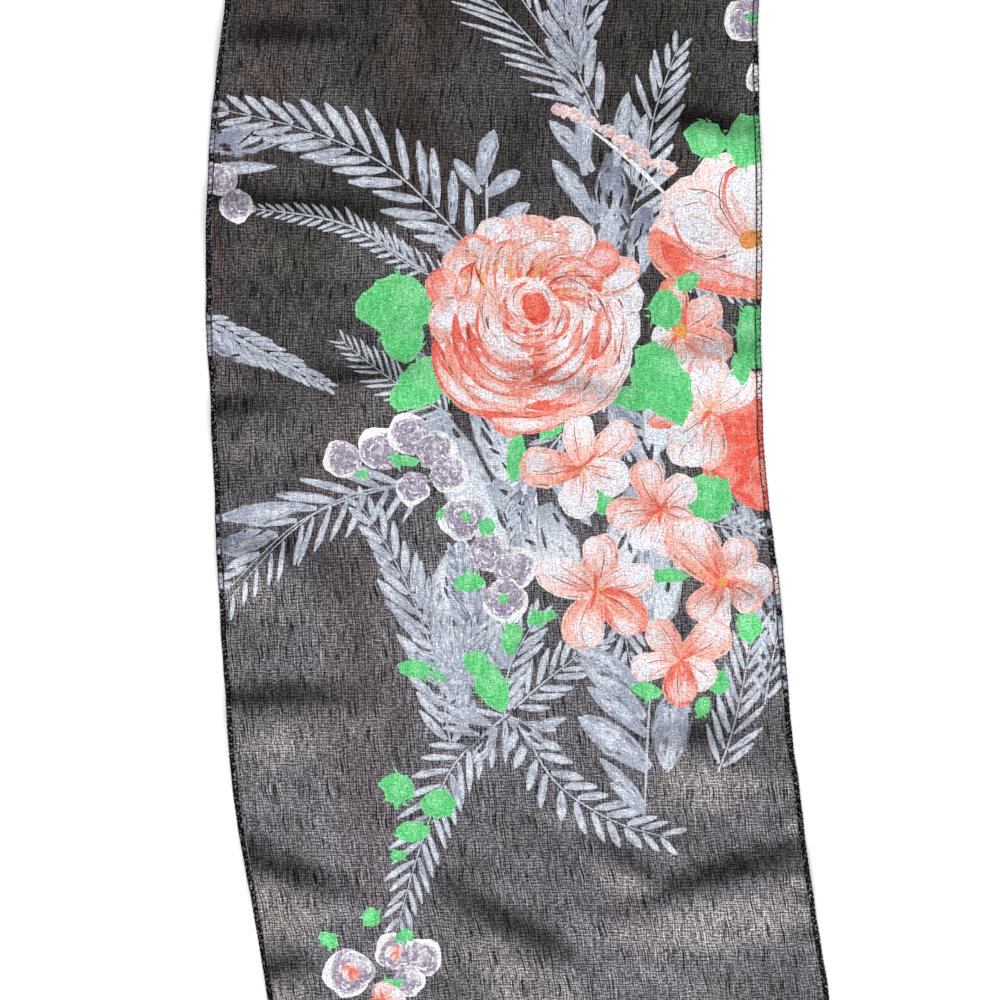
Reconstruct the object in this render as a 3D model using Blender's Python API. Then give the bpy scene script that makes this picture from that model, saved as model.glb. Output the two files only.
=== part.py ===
"""A long, narrow chiffon scarf lying flat on a table, softly rumpled.

The cloth panel and its four rolled hems are separate closed walls. X runs across the
scarf, Y along it and Z up. The origin is on the table under the middle of the scarf.
Lengths are in millimetres and become metres where the meshes are made.
"""

import math

import bmesh
import bpy

for old_object in list(bpy.data.objects):
    bpy.data.objects.remove(old_object, do_unlink=True)

MM = 0.001

# Driving dimensions
SCARF_LENGTH = 1500.0
CLOTH_WALL = 1.2
HEM_WIDTH = 3.0
HEM_THICKNESS = 2.0
SEAM_GAP = 0.3

# How finely the walls are divided
COLUMNS = 16
CLOSE_ROW_STEP = 7.0
WIDE_ROW_STEP = 12.0
CLOSE_ROWS_REACH = 238.0
HEM_SIDES = 6

# Where the two long edges lie: Y along the scarf, then X of the left and of the right edge
EDGE_COLUMNS = ("along", "left", "right")
EDGES = (
    (-750.0, -118.0, 129.0),
    (-610.0, -105.0, 143.0),
    (-450.0, -99.5, 148.7),
    (-330.0, -106.0, 144.0),
    (-223.0, -121.0, 132.0),
    (-172.0, -129.5, 124.0),
    (-136.0, -136.0, 119.5),
    (-100.0, -139.0, 115.0),
    (-64.0, -141.5, 112.0),
    (-28.0, -143.5, 108.5),
    (8.0, -145.0, 104.0),
    (44.0, -146.5, 102.0),
    (80.0, -148.5, 101.5),
    (116.0, -148.5, 102.0),
    (152.0, -147.5, 101.5),
    (188.0, -144.5, 100.5),
    (224.0, -140.0, 100.5),
    (340.0, -134.5, 108.0),
    (470.0, -139.0, 109.0),
    (620.0, -136.0, 113.0),
    (750.0, -129.0, 119.0),
)

# Soft ridges of lifted cloth. Each has a crest with its middle at (x, y), turned from the
# X axis, with half its run, the widths of its slopes on the far (+Y) and near (-Y) sides,
# its height, and how far the crest's ends curl towards +Y.
FOLD_COLUMNS = ("x", "y", "turn", "run", "far", "near", "height", "curl")
FOLDS = (
    # the middle stretch
    (-124.0, -167.0, -24.0, 60.0, 13.0, 30.0, 5.2, 4.0),
    (-12.0, -197.0, -31.0, 62.0, 14.0, 30.0, 5.0, 0.0),
    (88.0, -172.0, 17.0, 72.0, 13.0, 34.0, 5.6, -5.0),
    (42.0, -167.0, -37.0, 26.0, 9.0, 12.0, 2.8, 0.0),
    (-118.0, -94.0, 4.0, 48.0, 12.0, 34.0, 4.6, -3.0),
    (72.0, -112.0, 8.0, 44.0, 14.0, 34.0, 4.2, 5.0),
    (-118.0, 128.0, -5.0, 76.0, 14.0, 30.0, 4.8, -4.0),
    (-74.0, 52.0, 7.0, 44.0, 13.0, 26.0, 4.0, 3.0),
    (-136.0, 36.0, 3.0, 34.0, 13.0, 24.0, 3.4, 0.0),
    (80.0, 163.0, -10.0, 44.0, 13.0, 28.0, 5.0, 4.0),
    (-112.0, 203.0, 1.0, 52.0, 14.0, 28.0, 3.8, 3.0),
    (10.0, 176.0, 82.0, 54.0, 18.0, 22.0, 2.8, 0.0),
    (-72.0, 205.0, 86.0, 40.0, 15.0, 18.0, 2.4, 0.0),
    (-122.0, -28.0, -7.0, 40.0, 14.0, 28.0, 2.8, 3.0),
    (98.0, -48.0, 12.0, 34.0, 14.0, 26.0, 3.0, -2.0),
    (84.0, 62.0, 6.0, 40.0, 14.0, 28.0, 2.6, 3.0),
    (14.0, 44.0, -12.0, 46.0, 15.0, 26.0, 2.4, 2.0),
    (-118.0, -216.0, 9.0, 34.0, 13.0, 22.0, 3.4, 0.0),
    # the stretch beyond the near end
    (-38.0, -262.0, 14.0, 84.0, 22.0, 40.0, 5.0, -6.0),
    (84.0, -300.0, -9.0, 62.0, 20.0, 38.0, 4.8, 5.0),
    (-62.0, -352.0, -18.0, 58.0, 20.0, 36.0, 4.4, 3.0),
    (52.0, -398.0, 22.0, 78.0, 22.0, 42.0, 5.4, -6.0),
    (-54.0, -462.0, 6.0, 52.0, 20.0, 36.0, 4.2, 4.0),
    (88.0, -506.0, -14.0, 66.0, 22.0, 40.0, 5.0, 4.0),
    (-30.0, -560.0, -22.0, 74.0, 22.0, 42.0, 4.8, -5.0),
    (96.0, -618.0, 12.0, 52.0, 20.0, 36.0, 4.0, 0.0),
    (-66.0, -664.0, 10.0, 56.0, 22.0, 34.0, 3.6, 3.0),
    # the stretch beyond the far end
    (-84.0, 268.0, -8.0, 62.0, 20.0, 36.0, 4.6, 4.0),
    (52.0, 306.0, 16.0, 76.0, 22.0, 40.0, 5.2, -5.0),
    (-92.0, 362.0, 9.0, 54.0, 20.0, 36.0, 4.2, 3.0),
    (40.0, 412.0, -20.0, 72.0, 22.0, 42.0, 5.0, 5.0),
    (-76.0, 476.0, -6.0, 62.0, 22.0, 38.0, 4.4, -4.0),
    (66.0, 528.0, 11.0, 58.0, 20.0, 36.0, 4.6, 3.0),
    (-44.0, 590.0, 19.0, 80.0, 22.0, 42.0, 5.2, -6.0),
    (62.0, 654.0, -12.0, 54.0, 22.0, 36.0, 3.8, 4.0),
)
FOLD_SHARE_POWER = 3.0

# Colour, roughness and sheen of each fabric finish
CLOTH_FINISH = ((0.075, 0.068, 0.066, 1.0), 0.82, 0.25)
HEM_FINISH = ((0.016, 0.015, 0.018, 1.0), 0.70, 0.15)


def smooth_through(along, column):
    """The edge table's value at one place along the scarf, on a smooth curve through its rows."""
    places = [row[0] for row in EDGES]
    values = [row[EDGE_COLUMNS.index(column)] for row in EDGES]
    slopes = []
    for i in range(len(places)):
        before = max(i - 1, 0)
        after = min(i + 1, len(places) - 1)
        slopes.append((values[after] - values[before]) / (places[after] - places[before]))
    i = 0
    while i < len(places) - 2 and along > places[i + 1]:
        i += 1
    span = places[i + 1] - places[i]
    t = (along - places[i]) / span
    start = (2 * t**3 - 3 * t**2 + 1) * values[i] + (t**3 - 2 * t**2 + t) * span * slopes[i]
    end = (3 * t**2 - 2 * t**3) * values[i + 1] + (t**3 - t**2) * span * slopes[i + 1]
    return start + end


def bell(share):
    """A smooth hump, 1 at the middle and 0 from the rim outwards."""
    if abs(share) >= 1.0:
        return 0.0
    return math.cos(0.5 * math.pi * share) ** 2


def fold_height(fold, x, y):
    """How high one ridge lifts the cloth over the point (x, y)."""
    turn = math.radians(fold["turn"])
    across_x = x - fold["x"]
    across_y = y - fold["y"]
    along = across_x * math.cos(turn) + across_y * math.sin(turn)
    share = along / fold["run"]
    if abs(share) >= 1.0:
        return 0.0
    aside = across_y * math.cos(turn) - across_x * math.sin(turn) - fold["curl"] * share**2
    slope = fold["far"] if aside > 0 else fold["near"]
    return fold["height"] * bell(share) * bell(aside / slope)


FOLD_ROWS = [dict(zip(FOLD_COLUMNS, row)) for row in FOLDS]


def lift(x, y):
    """The height of the cloth's underside over the table, 0 where it rests."""
    total = sum(fold_height(fold, x, y) ** FOLD_SHARE_POWER for fold in FOLD_ROWS)
    return total ** (1.0 / FOLD_SHARE_POWER)


def rows_between(start, end, step):
    """Even places from start up to, and without, end."""
    count = max(1, round((end - start) / step))
    return [start + (end - start) * i / count for i in range(count)]


def row_places():
    """Where the rows of the walls lie along the scarf, inside its end hems."""
    half = 0.5 * SCARF_LENGTH - HEM_WIDTH - SEAM_GAP
    near = rows_between(-half, -CLOSE_ROWS_REACH, WIDE_ROW_STEP)
    middle = rows_between(-CLOSE_ROWS_REACH, CLOSE_ROWS_REACH, CLOSE_ROW_STEP)
    far = rows_between(CLOSE_ROWS_REACH, half, WIDE_ROW_STEP)
    return near + middle + far + [half]


def panel_sides(y):
    """X of the panel's left and right edge, inside its hems."""
    inset = HEM_WIDTH + SEAM_GAP
    return smooth_through(y, "left") + inset, smooth_through(y, "right") - inset


def add_object(name, mesh_builder, finish):
    """Turns a bmesh in millimetres into a named object in metres with its own material."""
    bmesh.ops.scale(mesh_builder, vec=(MM, MM, MM), verts=mesh_builder.verts)
    bmesh.ops.recalc_face_normals(mesh_builder, faces=mesh_builder.faces)
    mesh = bpy.data.meshes.new(name)
    mesh_builder.to_mesh(mesh)
    mesh_builder.free()
    mesh.shade_smooth()
    mesh.set_sharp_from_angle(angle=math.radians(50))
    made = bpy.data.objects.new(name, mesh)
    bpy.context.scene.collection.objects.link(made)
    colour, roughness, sheen = finish
    material = bpy.data.materials.new(name + "_fabric")
    material.use_nodes = True
    shader = material.node_tree.nodes["Principled BSDF"]
    shader.inputs["Base Color"].default_value = colour
    shader.inputs["Roughness"].default_value = roughness
    shader.inputs["Metallic"].default_value = 0.0
    shader.inputs["Sheen Weight"].default_value = sheen
    mesh.materials.append(material)
    return made


def cloth_panel(name, places):
    """The printed cloth: a thin closed wall that follows the folds."""
    builder = bmesh.new()
    under = []
    over = []
    for y in places:
        left, right = panel_sides(y)
        under_row = []
        over_row = []
        for i in range(COLUMNS + 1):
            x = left + (right - left) * i / COLUMNS
            height = lift(x, y)
            under_row.append(builder.verts.new((x, y, height)))
            over_row.append(builder.verts.new((x, y, height + CLOTH_WALL)))
        under.append(under_row)
        over.append(over_row)
    last = len(places) - 1
    for r in range(last):
        for c in range(COLUMNS):
            builder.faces.new((over[r][c], over[r][c + 1], over[r + 1][c + 1], over[r + 1][c]))
            builder.faces.new((under[r][c], under[r + 1][c], under[r + 1][c + 1], under[r][c + 1]))
        for c in (0, COLUMNS):
            builder.faces.new((under[r][c], under[r + 1][c], over[r + 1][c], over[r][c]))
    for r in (0, last):
        for c in range(COLUMNS):
            builder.faces.new((under[r][c], under[r][c + 1], over[r][c + 1], over[r][c]))
    return add_object(name, builder, CLOTH_FINISH)


def hem_roll(name, stations, crosswise):
    """A rolled hem: a flattened tube through (x, y) stations, with flat faces up and down.

    crosswise is the horizontal direction of the roll's width, the same at every station.
    """
    builder = bmesh.new()
    step = 2.0 * math.pi / HEM_SIDES
    reach = 0.5 * HEM_WIDTH
    rise = 0.5 * HEM_THICKNESS / math.sin(step)
    rings = []
    for x, y in stations:
        middle = lift(x, y) + 0.5 * HEM_THICKNESS
        ring = []
        for k in range(HEM_SIDES):
            out = reach * math.cos(k * step)
            up = rise * math.sin(k * step)
            place = (x + crosswise[0] * out, y + crosswise[1] * out, middle + up)
            ring.append(builder.verts.new(place))
        rings.append(ring)
    for first, second in zip(rings, rings[1:]):
        for k in range(HEM_SIDES):
            after = (k + 1) % HEM_SIDES
            builder.faces.new((first[k], first[after], second[after], second[k]))
    builder.faces.new(rings[0])
    builder.faces.new(rings[-1])
    return add_object(name, builder, HEM_FINISH)


def long_hem(name, side, places):
    """The hem along one long edge, from end to end of the scarf."""
    half = 0.5 * SCARF_LENGTH
    inward = 0.5 * HEM_WIDTH if side == "left" else -0.5 * HEM_WIDTH
    stops = [-half] + places + [half]
    stations = [(smooth_through(y, side) + inward, y) for y in stops]
    return hem_roll(name, stations, (1.0, 0.0))


def end_hem(name, direction):
    """The short hem across one end, between the two long hems."""
    y = direction * 0.5 * (SCARF_LENGTH - HEM_WIDTH)
    outer = direction * 0.5 * SCARF_LENGTH
    inner = direction * (0.5 * SCARF_LENGTH - HEM_WIDTH)
    left = max(panel_sides(outer)[0], panel_sides(inner)[0])
    right = min(panel_sides(outer)[1], panel_sides(inner)[1])
    stations = [(left + (right - left) * i / COLUMNS, y) for i in range(COLUMNS + 1)]
    return hem_roll(name, stations, (0.0, 1.0))


ROW_PLACES = row_places()
cloth_panel("cloth_panel", ROW_PLACES)
long_hem("hem_left", "left", ROW_PLACES)
long_hem("hem_right", "right", ROW_PLACES)
end_hem("hem_end_near", -1)
end_hem("hem_end_far", 1)
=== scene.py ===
import math
import random

import bpy
import numpy as np
from mathutils.geometry import delaunay_2d_cdt
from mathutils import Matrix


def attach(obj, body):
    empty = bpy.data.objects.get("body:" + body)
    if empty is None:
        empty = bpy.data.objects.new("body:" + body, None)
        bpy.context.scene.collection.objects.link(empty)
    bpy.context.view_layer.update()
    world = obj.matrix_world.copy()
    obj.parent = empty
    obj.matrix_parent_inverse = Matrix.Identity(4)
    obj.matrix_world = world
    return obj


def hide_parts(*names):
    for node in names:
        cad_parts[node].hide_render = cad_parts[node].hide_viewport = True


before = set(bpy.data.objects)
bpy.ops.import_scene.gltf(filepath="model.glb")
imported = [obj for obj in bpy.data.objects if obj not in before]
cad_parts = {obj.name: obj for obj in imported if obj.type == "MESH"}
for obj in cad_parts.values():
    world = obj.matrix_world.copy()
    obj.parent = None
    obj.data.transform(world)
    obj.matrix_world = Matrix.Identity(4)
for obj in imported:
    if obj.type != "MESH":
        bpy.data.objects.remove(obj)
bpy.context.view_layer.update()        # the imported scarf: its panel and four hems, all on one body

# A long chiffon scarf lies on a pale table, seen from straight above its middle.
# X runs across it, Y along it. Lengths are millimetres until a mesh is made.

mm = 0.001
random.seed(27)


# the laid cloth: its plan, its folds and its small swells
cloth = {
    "length": 1500.0,
    "hemWidth": 3.0,
    "tuck": 0.1,            # how far the panel's edge reaches into its hems
    "thickness": 0.45,
    "rimStep": 3.6,
    "overSteps": (4.8, 8.0, 6.4),       # the form's rows in the middle stretch, beyond it, columns
    "underSteps": (9.0, 14.0, 12.0),    # the same underneath
    "closeReach": 240.0,    # half the middle stretch
    "weld": 0.002,          # points nearer than this become one
    # the slope feeds the finish's painted fold shade and painted light
    "slopeStep": 1.5,       # reach of the slope kept for the finish
    "rumple": 0.55,         # height of the small soft swells between the folds
    "bend": 61.0,           # how slowly the swells wander along the cloth
    "pucker": 0.9,          # height of the gathers beside the hems
    "puckerPitch": 15.5,
    "puckerReach": 13.0,
}

edgeColumns = ("along", "left", "right")
edges = (
    (-750, -118, 129),
    (-610, -105, 143),
    (-450, -99.5, 148.7),
    (-330, -106, 144),
    (-223, -121, 132),
    (-172, -129.5, 124),
    (-136, -136, 119.5),
    (-100, -139, 115),
    (-64, -141.5, 112),
    (-28, -143.5, 108.5),
    (8, -145, 104),
    (44, -146.5, 102),
    (80, -148.5, 101.5),
    (116, -148.5, 102),
    (152, -147.5, 101.5),
    (188, -144.5, 100.5),
    (224, -140, 100.5),
    (340, -134.5, 108),
    (470, -139, 109),
    (620, -136, 113),
    (750, -129, 119),
)

# soft ridges: the crest's middle, its turn, half its run, the widths of the far and near
# slopes, the height, and how far its ends curl towards +Y
foldColumns = ("x", "y", "turn", "run", "far", "near", "height", "curl")
folds = (
    (-124, -167, -24, 60, 13, 30, 5.2, 4),
    (-12, -197, -31, 62, 14, 30, 5, 0),
    (88, -172, 17, 72, 13, 34, 5.6, -5),
    (42, -167, -37, 26, 9, 12, 2.8, 0),
    (-118, -94, 4, 48, 12, 34, 4.6, -3),
    (72, -112, 8, 44, 14, 34, 4.2, 5),
    (-118, 128, -5, 76, 14, 30, 4.8, -4),
    (-74, 52, 7, 44, 13, 26, 4, 3),
    (-136, 36, 3, 34, 13, 24, 3.4, 0),
    (80, 163, -10, 44, 13, 28, 5, 4),
    (-112, 203, 1, 52, 14, 28, 3.8, 3),
    (10, 176, 82, 54, 18, 22, 2.8, 0),
    (-72, 205, 86, 40, 15, 18, 2.4, 0),
    (-122, -28, -7, 40, 14, 28, 2.8, 3),
    (98, -48, 12, 34, 14, 26, 3, -2),
    (84, 62, 6, 40, 14, 28, 2.6, 3),
    (14, 44, -12, 46, 15, 26, 2.4, 2),
    (-118, -216, 9, 34, 13, 22, 3.4, 0),
    (-38, -262, 14, 84, 22, 40, 5, -6),
    (84, -300, -9, 62, 20, 38, 4.8, 5),
    (-62, -352, -18, 58, 20, 36, 4.4, 3),
    (52, -398, 22, 78, 22, 42, 5.4, -6),
    (-54, -462, 6, 52, 20, 36, 4.2, 4),
    (88, -506, -14, 66, 22, 40, 5, 4),
    (-30, -560, -22, 74, 22, 42, 4.8, -5),
    (96, -618, 12, 52, 20, 36, 4, 0),
    (-66, -664, 10, 56, 22, 34, 3.6, 3),
    (-84, 268, -8, 62, 20, 36, 4.6, 4),
    (52, 306, 16, 76, 22, 40, 5.2, -5),
    (-92, 362, 9, 54, 20, 36, 4.2, 3),
    (40, 412, -20, 72, 22, 42, 5, 5),
    (-76, 476, -6, 62, 22, 38, 4.4, -4),
    (66, 528, 11, 58, 20, 36, 4.6, 3),
    (-44, 590, 19, 80, 22, 42, 5.2, -6),
    (62, 654, -12, 54, 22, 36, 3.8, 4),
)
foldShare = 3.0             # ridges that meet share their height by this power

# where the hems gather the cloth beside them: side, from and to along Y, strength
gatherColumns = ("side", "start", "end", "strength")
gathers = (
    ("right", -235, -95, 1),
    ("right", 60, 150, 0.45),
    ("left", -60, 40, 0.4),
    ("left", 120, 230, 0.55),
    ("right", -560, -330, 0.6),
    ("left", -480, -260, 0.7),
    ("right", 300, 470, 0.7),
    ("left", 420, 620, 0.6),
)

# small swells: wave vector (turns a metre across and along), phase and share of height
swellColumns = ("across", "along", "phase", "share")
swells = (
    (9.0, 21.0, 0.4, 1.0),
    (-17.0, 13.0, 2.1, 0.8),
    (5.0, -34.0, 4.4, 0.6),
    (27.0, 8.0, 1.3, 0.5),
    (-12.0, -47.0, 5.2, 0.35),
)


def rowsOf(columns, table):
    return [dict(zip(columns, row)) for row in table]


def edgeX(along, side):
    # the edge's X on a smooth curve through the table's rows
    rows = rowsOf(edgeColumns, edges)
    places = np.array([row["along"] for row in rows])
    values = np.array([row[side] for row in rows])
    slopes = np.gradient(values, places)
    slopes[1:-1] = (values[2:] - values[:-2]) / (places[2:] - places[:-2])
    i = np.clip(np.searchsorted(places, along, side="left") - 1, 0, len(places) - 2)
    span = places[i + 1] - places[i]
    t = (along - places[i]) / span
    start = (2 * t**3 - 3 * t**2 + 1) * values[i] + (t**3 - 2 * t**2 + t) * span * slopes[i]
    end = (3 * t**2 - 2 * t**3) * values[i + 1] + (t**3 - t**2) * span * slopes[i + 1]
    return start + end


def middleX(along):
    return 0.5 * (edgeX(along, "left") + edgeX(along, "right"))


def bell(share):
    return np.where(np.abs(share) < 1.0, np.cos(0.5 * np.pi * np.clip(share, -1, 1)) ** 2, 0.0)


def foldLift(x, y):
    # the underside's height where the ridges lift it, as in the solid
    total = np.zeros_like(x)
    for fold in rowsOf(foldColumns, folds):
        turn = math.radians(fold["turn"])
        dx = x - fold["x"]
        dy = y - fold["y"]
        share = (dx * math.cos(turn) + dy * math.sin(turn)) / fold["run"]
        aside = dy * math.cos(turn) - dx * math.sin(turn) - fold["curl"] * share**2
        slope = np.where(aside > 0, fold["far"], fold["near"])
        total += (fold["height"] * bell(share) * bell(aside / slope)) ** foldShare
    return total ** (1.0 / foldShare)


def gatherLift(x, y):
    # short puckers that run in from the hems and die out
    waves = np.sin(2 * np.pi * y / cloth["puckerPitch"] + 1.9 * np.sin(y / 33.0) + 1.1 * np.sin(y / 12.7))
    total = np.zeros_like(x)
    for row in rowsOf(gatherColumns, gathers):
        inward = np.abs(x - edgeX(y, row["side"])) / cloth["puckerReach"]
        stretch = (y - row["start"]) / (row["end"] - row["start"])
        fade = np.exp(-(inward**1.3)) * bell(2 * np.clip(stretch, 0, 1) - 1) ** 0.5
        total += row["strength"] * fade * np.clip(waves, 0, 1) ** 1.5
    return cloth["pucker"] * total


def swellLift(x, y):
    # uneven soft swells, cut off below so that the cloth still rests on the table
    total = np.zeros_like(x)
    for row in rowsOf(swellColumns, swells):
        turns = (row["across"] * x + row["along"] * y) * mm
        total += row["share"] * np.sin(2 * np.pi * turns + row["phase"] + 0.8 * np.sin(y / cloth["bend"]))
    return cloth["rumple"] * 0.5 * (total + np.sqrt(total**2 + 0.15)) / 1.6


def lift(x, y):
    return foldLift(x, y) + gatherLift(x, y) + swellLift(x, y)


def dye(red, green, blue):
    # a cloth colour as seen in daylight, 0 to 255, made linear
    return tuple((v / 255.0) ** 2.2 for v in (red, green, blue))


dyes = {
    "fern": dye(162, 169, 186),
    "fernPale": dye(214, 222, 232),
    "fernDeep": dye(120, 125, 149),
    "coral": dye(242, 140, 120),
    "coralDeep": dye(237, 98, 84),
    "salmon": dye(245, 184, 170),
    "blush": dye(246, 216, 212),
    "petalWhite": dye(232, 228, 236),
    "ochre": dye(232, 158, 84),
    "leaf": dye(97, 201, 122),
    "leafPale": dye(146, 224, 164),
    "mauve": dye(156, 144, 164),
    "mauveDeep": dye(132, 118, 142),
    "mauvePale": dye(206, 198, 214),
    "white": dye(236, 236, 242),
    "line": dye(150, 82, 66),
}

# how a brush mark is coloured: dye at its root and at its tip, the dye of its highlight, how
# much highlight shows, and how much it has of fine drawn lines, of speckles, and of bare
# ground along its edges and in slits
paintColumns = ("root", "tip", "light", "amount", "lines", "speckle", "bare")
paintTable = {
    "fern": ("fern", "fern", "fernPale", 0.65, 0.0, 0.2, 0.7),
    "fernDark": ("fernDeep", "fern", "fernPale", 0.6, 0.0, 0.2, 0.8),
    "wash": ("fernDeep", "fern", "fernPale", 0.55, 0.0, 0.3, 1.0),
    "washPale": ("fern", "fernPale", "fernPale", 0.60, 0.0, 0.3, 0.5),
    "stem": ("fern", "fern", "fernPale", 0.5, 0.0, 0.0, 0.0),
    "coral": ("coralDeep", "coral", "petalWhite", 0.50, 1.0, 0.0, 0.0),
    "salmon": ("coral", "salmon", "petalWhite", 0.75, 1.0, 0.0, 0.0),
    "pale": ("salmon", "blush", "petalWhite", 1.0, 0.9, 0.0, 0.0),
    "white": ("blush", "petalWhite", "white", 1.0, 0.8, 0.0, 0.0),
    "red": ("coralDeep", "coralDeep", "salmon", 0.45, 0.3, 0.0, 0.0),
    "ochre": ("ochre", "salmon", "blush", 0.5, 0.9, 0.0, 0.0),
    "heart": ("coralDeep", "coralDeep", "coral", 0.5, 0.6, 0.0, 0.0),
    "stamen": ("ochre", "ochre", "coral", 0.4, 0.6, 0.0, 0.0),
    "line": ("line", "line", "line", 0.0, 0.0, 0.0, 0.0),
    "leaf": ("leaf", "leaf", "leafPale", 0.55, 0.2, 0.55, 0.0),
    "mauve": ("mauve", "mauve", "white", 0.50, 0.3, 1.7, 0.0),
    "mauveDeep": ("mauveDeep", "mauve", "mauvePale", 0.3, 0.2, 0.8, 0.0),
    "white edge": ("white", "white", "white", 0.0, 0.0, 0.0, 0.0),
    "bud": ("salmon", "mauvePale", "blush", 0.8, 0.4, 0.5, 0.0),
    "gap": ("fern", "fern", "fern", 0.0, 0.0, 0.0, 0.0),
}
paints = {name: dict(zip(paintColumns, row)) for name, row in paintTable.items()}


# brush marks, in painting order; level 0 is on both sides of the whole cloth (its stems and
# slits only above), 1 on its upper side and 2 only on the upper side of the middle spray
marks = []


def curveThrough(points, count):
    # a smooth curve through given points, at even steps of its parameter
    points = np.array(points, float)
    if len(points) == 2:
        return points[0] + (points[1] - points[0]) * np.linspace(0, 1, count)[:, None]
    spots = np.linspace(0, len(points) - 1, count)
    i = np.minimum(spots.astype(int), len(points) - 2)
    t = (spots - i)[:, None]
    before = points[np.maximum(i - 1, 0)]
    after = points[np.minimum(i + 2, len(points) - 1)]
    here, there = points[i], points[i + 1]
    curve = 2 * here + (there - before) * t + (2 * before - 5 * here + 4 * there - after) * t**2
    return 0.5 * (curve + (3 * here - before - 3 * there + after) * t**3)


def sideways(path):
    # unit normals to the left of a path
    run = np.gradient(path, axis=0)
    run /= np.maximum(np.linalg.norm(run, axis=1), 1e-9)[:, None]
    return np.stack([-run[:, 1], run[:, 0]], axis=1)


def heading(degrees):
    return np.array([math.cos(math.radians(degrees)), math.sin(math.radians(degrees))])


def axes(degrees):
    # unit directions ahead and to the left
    ahead = heading(degrees)
    return ahead, np.array([-ahead[1], ahead[0]])


def roundAbout(centre, turns, spans):
    # points at some turns, in radians, and distances round a centre
    return np.array(centre) + spans[:, None] * np.stack([np.cos(turns), np.sin(turns)], axis=1)


def ovalReach(share, length, width, away):
    # a share of an oval's length, at an angle away from the way it is drawn out
    return share * length * width / math.hypot(width * math.cos(away), length * math.sin(away))


def stroke(path, halves, paint, rough=0.0, level=0, inner=False, off=0.0):
    # a brush stroke along a path, halves wide to each side; inner adds points down its middle
    path = np.array(path, float)
    halves = np.array(halves, float)
    normals = sideways(path)
    shaken = halves[:, None] * (1 + rough * np.array([[random.uniform(-1, 1) for _ in range(2)]
                                                      for _ in halves]))
    left = path + normals * shaken[:, :1]
    right = path - normals * shaken[:, 1:]
    outline = [left] if halves[-1] > 1e-6 else [left[:-1], path[-1:]]
    back = right[::-1]
    back = back if halves[-1] > 1e-6 else back[1:]
    back = back if halves[0] > 1e-6 else back[:-1]
    marks.append({
        "outline": np.concatenate(outline + [back]),
        "path": path,
        "halves": halves,
        "inner": path[1:-1] if inner else path[:0],
        "paint": paint,
        "level": level,
        "off": off,
    })


def blob(centre, radii, paint, level=0, off=0.0):
    # a closed patch round a centre, radii at even angles
    count = len(radii)
    centre = np.array(centre, float)
    radii = np.array(radii, float)
    marks.append({
        "outline": roundAbout(centre, 2 * np.pi * np.arange(count) / count, radii),
        "centre": centre,
        "radii": radii,
        "inner": centre[None],
        "paint": paint,
        "level": level,
        "off": off,
    })


def wobbly(radius, count, shake, lobes=0, depth=0.0):
    # radii of a hand-painted round
    phase = random.uniform(0, 6.28)
    return [radius * (1 + random.uniform(-shake, shake)
                      + depth * math.cos(lobes * 2 * math.pi * k / count + phase))
            for k in range(count)]


def oval(length, width, turn, count, shake):
    # radii of a wobbly oval drawn out along its turn
    radii = []
    for k in range(count):
        away = 2 * math.pi * k / count - math.radians(turn)
        radii.append(ovalReach(0.5, length, width, away) * (1 + random.uniform(-shake, shake)))
    return radii


# half widths along some strokes, as shares of their widest
tapers = {name: np.array(row) for name, row in {
    "leaflet": (0.5, 1.06, 1.08, 0.34),
    "penLine": (0.5, 1.0, 1.0, 1.0, 0.7, 0.0),
    "streak": (0.8, 1.0, 0.7, 0.0),
    "dart": (0.5, 0.9, 0.6, 0.0),
    "swirl": (0.25, 0.7, 1.0, 0.9, 0.5, 0.0),
    "thorn": (1.0, 0.5, 0.0),
    "slit": (0.5, 1.0, 0.9, 0.0),
    "budStem": (0.3, 0.7, 1.0, 0.9, 0.8, 0.7, 0.5, 0.3),
    "drawnEdge": (0.5, 1.0, 1.0, 1.0, 1.0, 0.8, 0.4),
}.items()}
# what lies on a petal of each paint
palerPaint = {"coral": "salmon", "salmon": "pale", "pale": "white", "white": "white"}


def leaflet(root, direction, length, half, bend, paint):
    # one fern leaflet: a straight-sided dab with a blunt end
    ahead, side = axes(direction)
    shares = np.array([0.0, 0.30, 0.72, 1.0])
    path = root + length * (shares[:, None] * ahead + bend * (shares**2)[:, None] * side)
    stroke(path, half * tapers["leaflet"], paint, rough=0.16)


def frond(base, via, tip, pairs, length, half, lean, stem=0.5, curl=0.06, left=1.0, right=1.0,
          rise=0.7, fade=0.6, paint="fern"):
    # a fern: a thin stem with leaflets on one or both sides
    points = [base] + list(via) + [tip]
    spine = curveThrough(points, 4 * len(points))
    steps = np.linalg.norm(np.diff(spine, axis=0), axis=1)
    reach = np.concatenate([[0], np.cumsum(steps)])
    for side, scale in ((1, left), (-1, right)):
        for k in range(pairs if scale else 0):
            share = (k + 0.5 + 0.16 * random.uniform(-1, 1)) / pairs
            at = share * reach[-1]
            spots = [np.array([np.interp(at + step, reach, spine[:, axis]) for axis in (0, 1)])
                     for step in (-1.0, 0.0, 1.0)]
            run = spots[2] - spots[0]
            ahead = math.degrees(math.atan2(run[1], run[0]))
            out = lean * (1 - 0.45 * share) + random.uniform(-4, 4)
            swell = rise + (1 - rise) * min(1.0, 2.2 * share)
            faded = fade * max(0.0, share - 0.45) ** 1.2 / 0.49
            size = length * scale * swell * (1 - faded)
            size *= random.uniform(0.88, 1.1)
            wide = half * random.uniform(0.85, 1.12) * (1 - 0.35 * share**3)
            clear = stem * (1 - 0.7 * share) + 0.45 * wide
            root = spots[1] + clear * heading(ahead + 90 * side)
            leaflet(root, ahead + side * out, size, wide, -side * curl, paint)
    stroke(spine, np.linspace(stem, 0.3 * stem, len(spine)), "stem")


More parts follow.
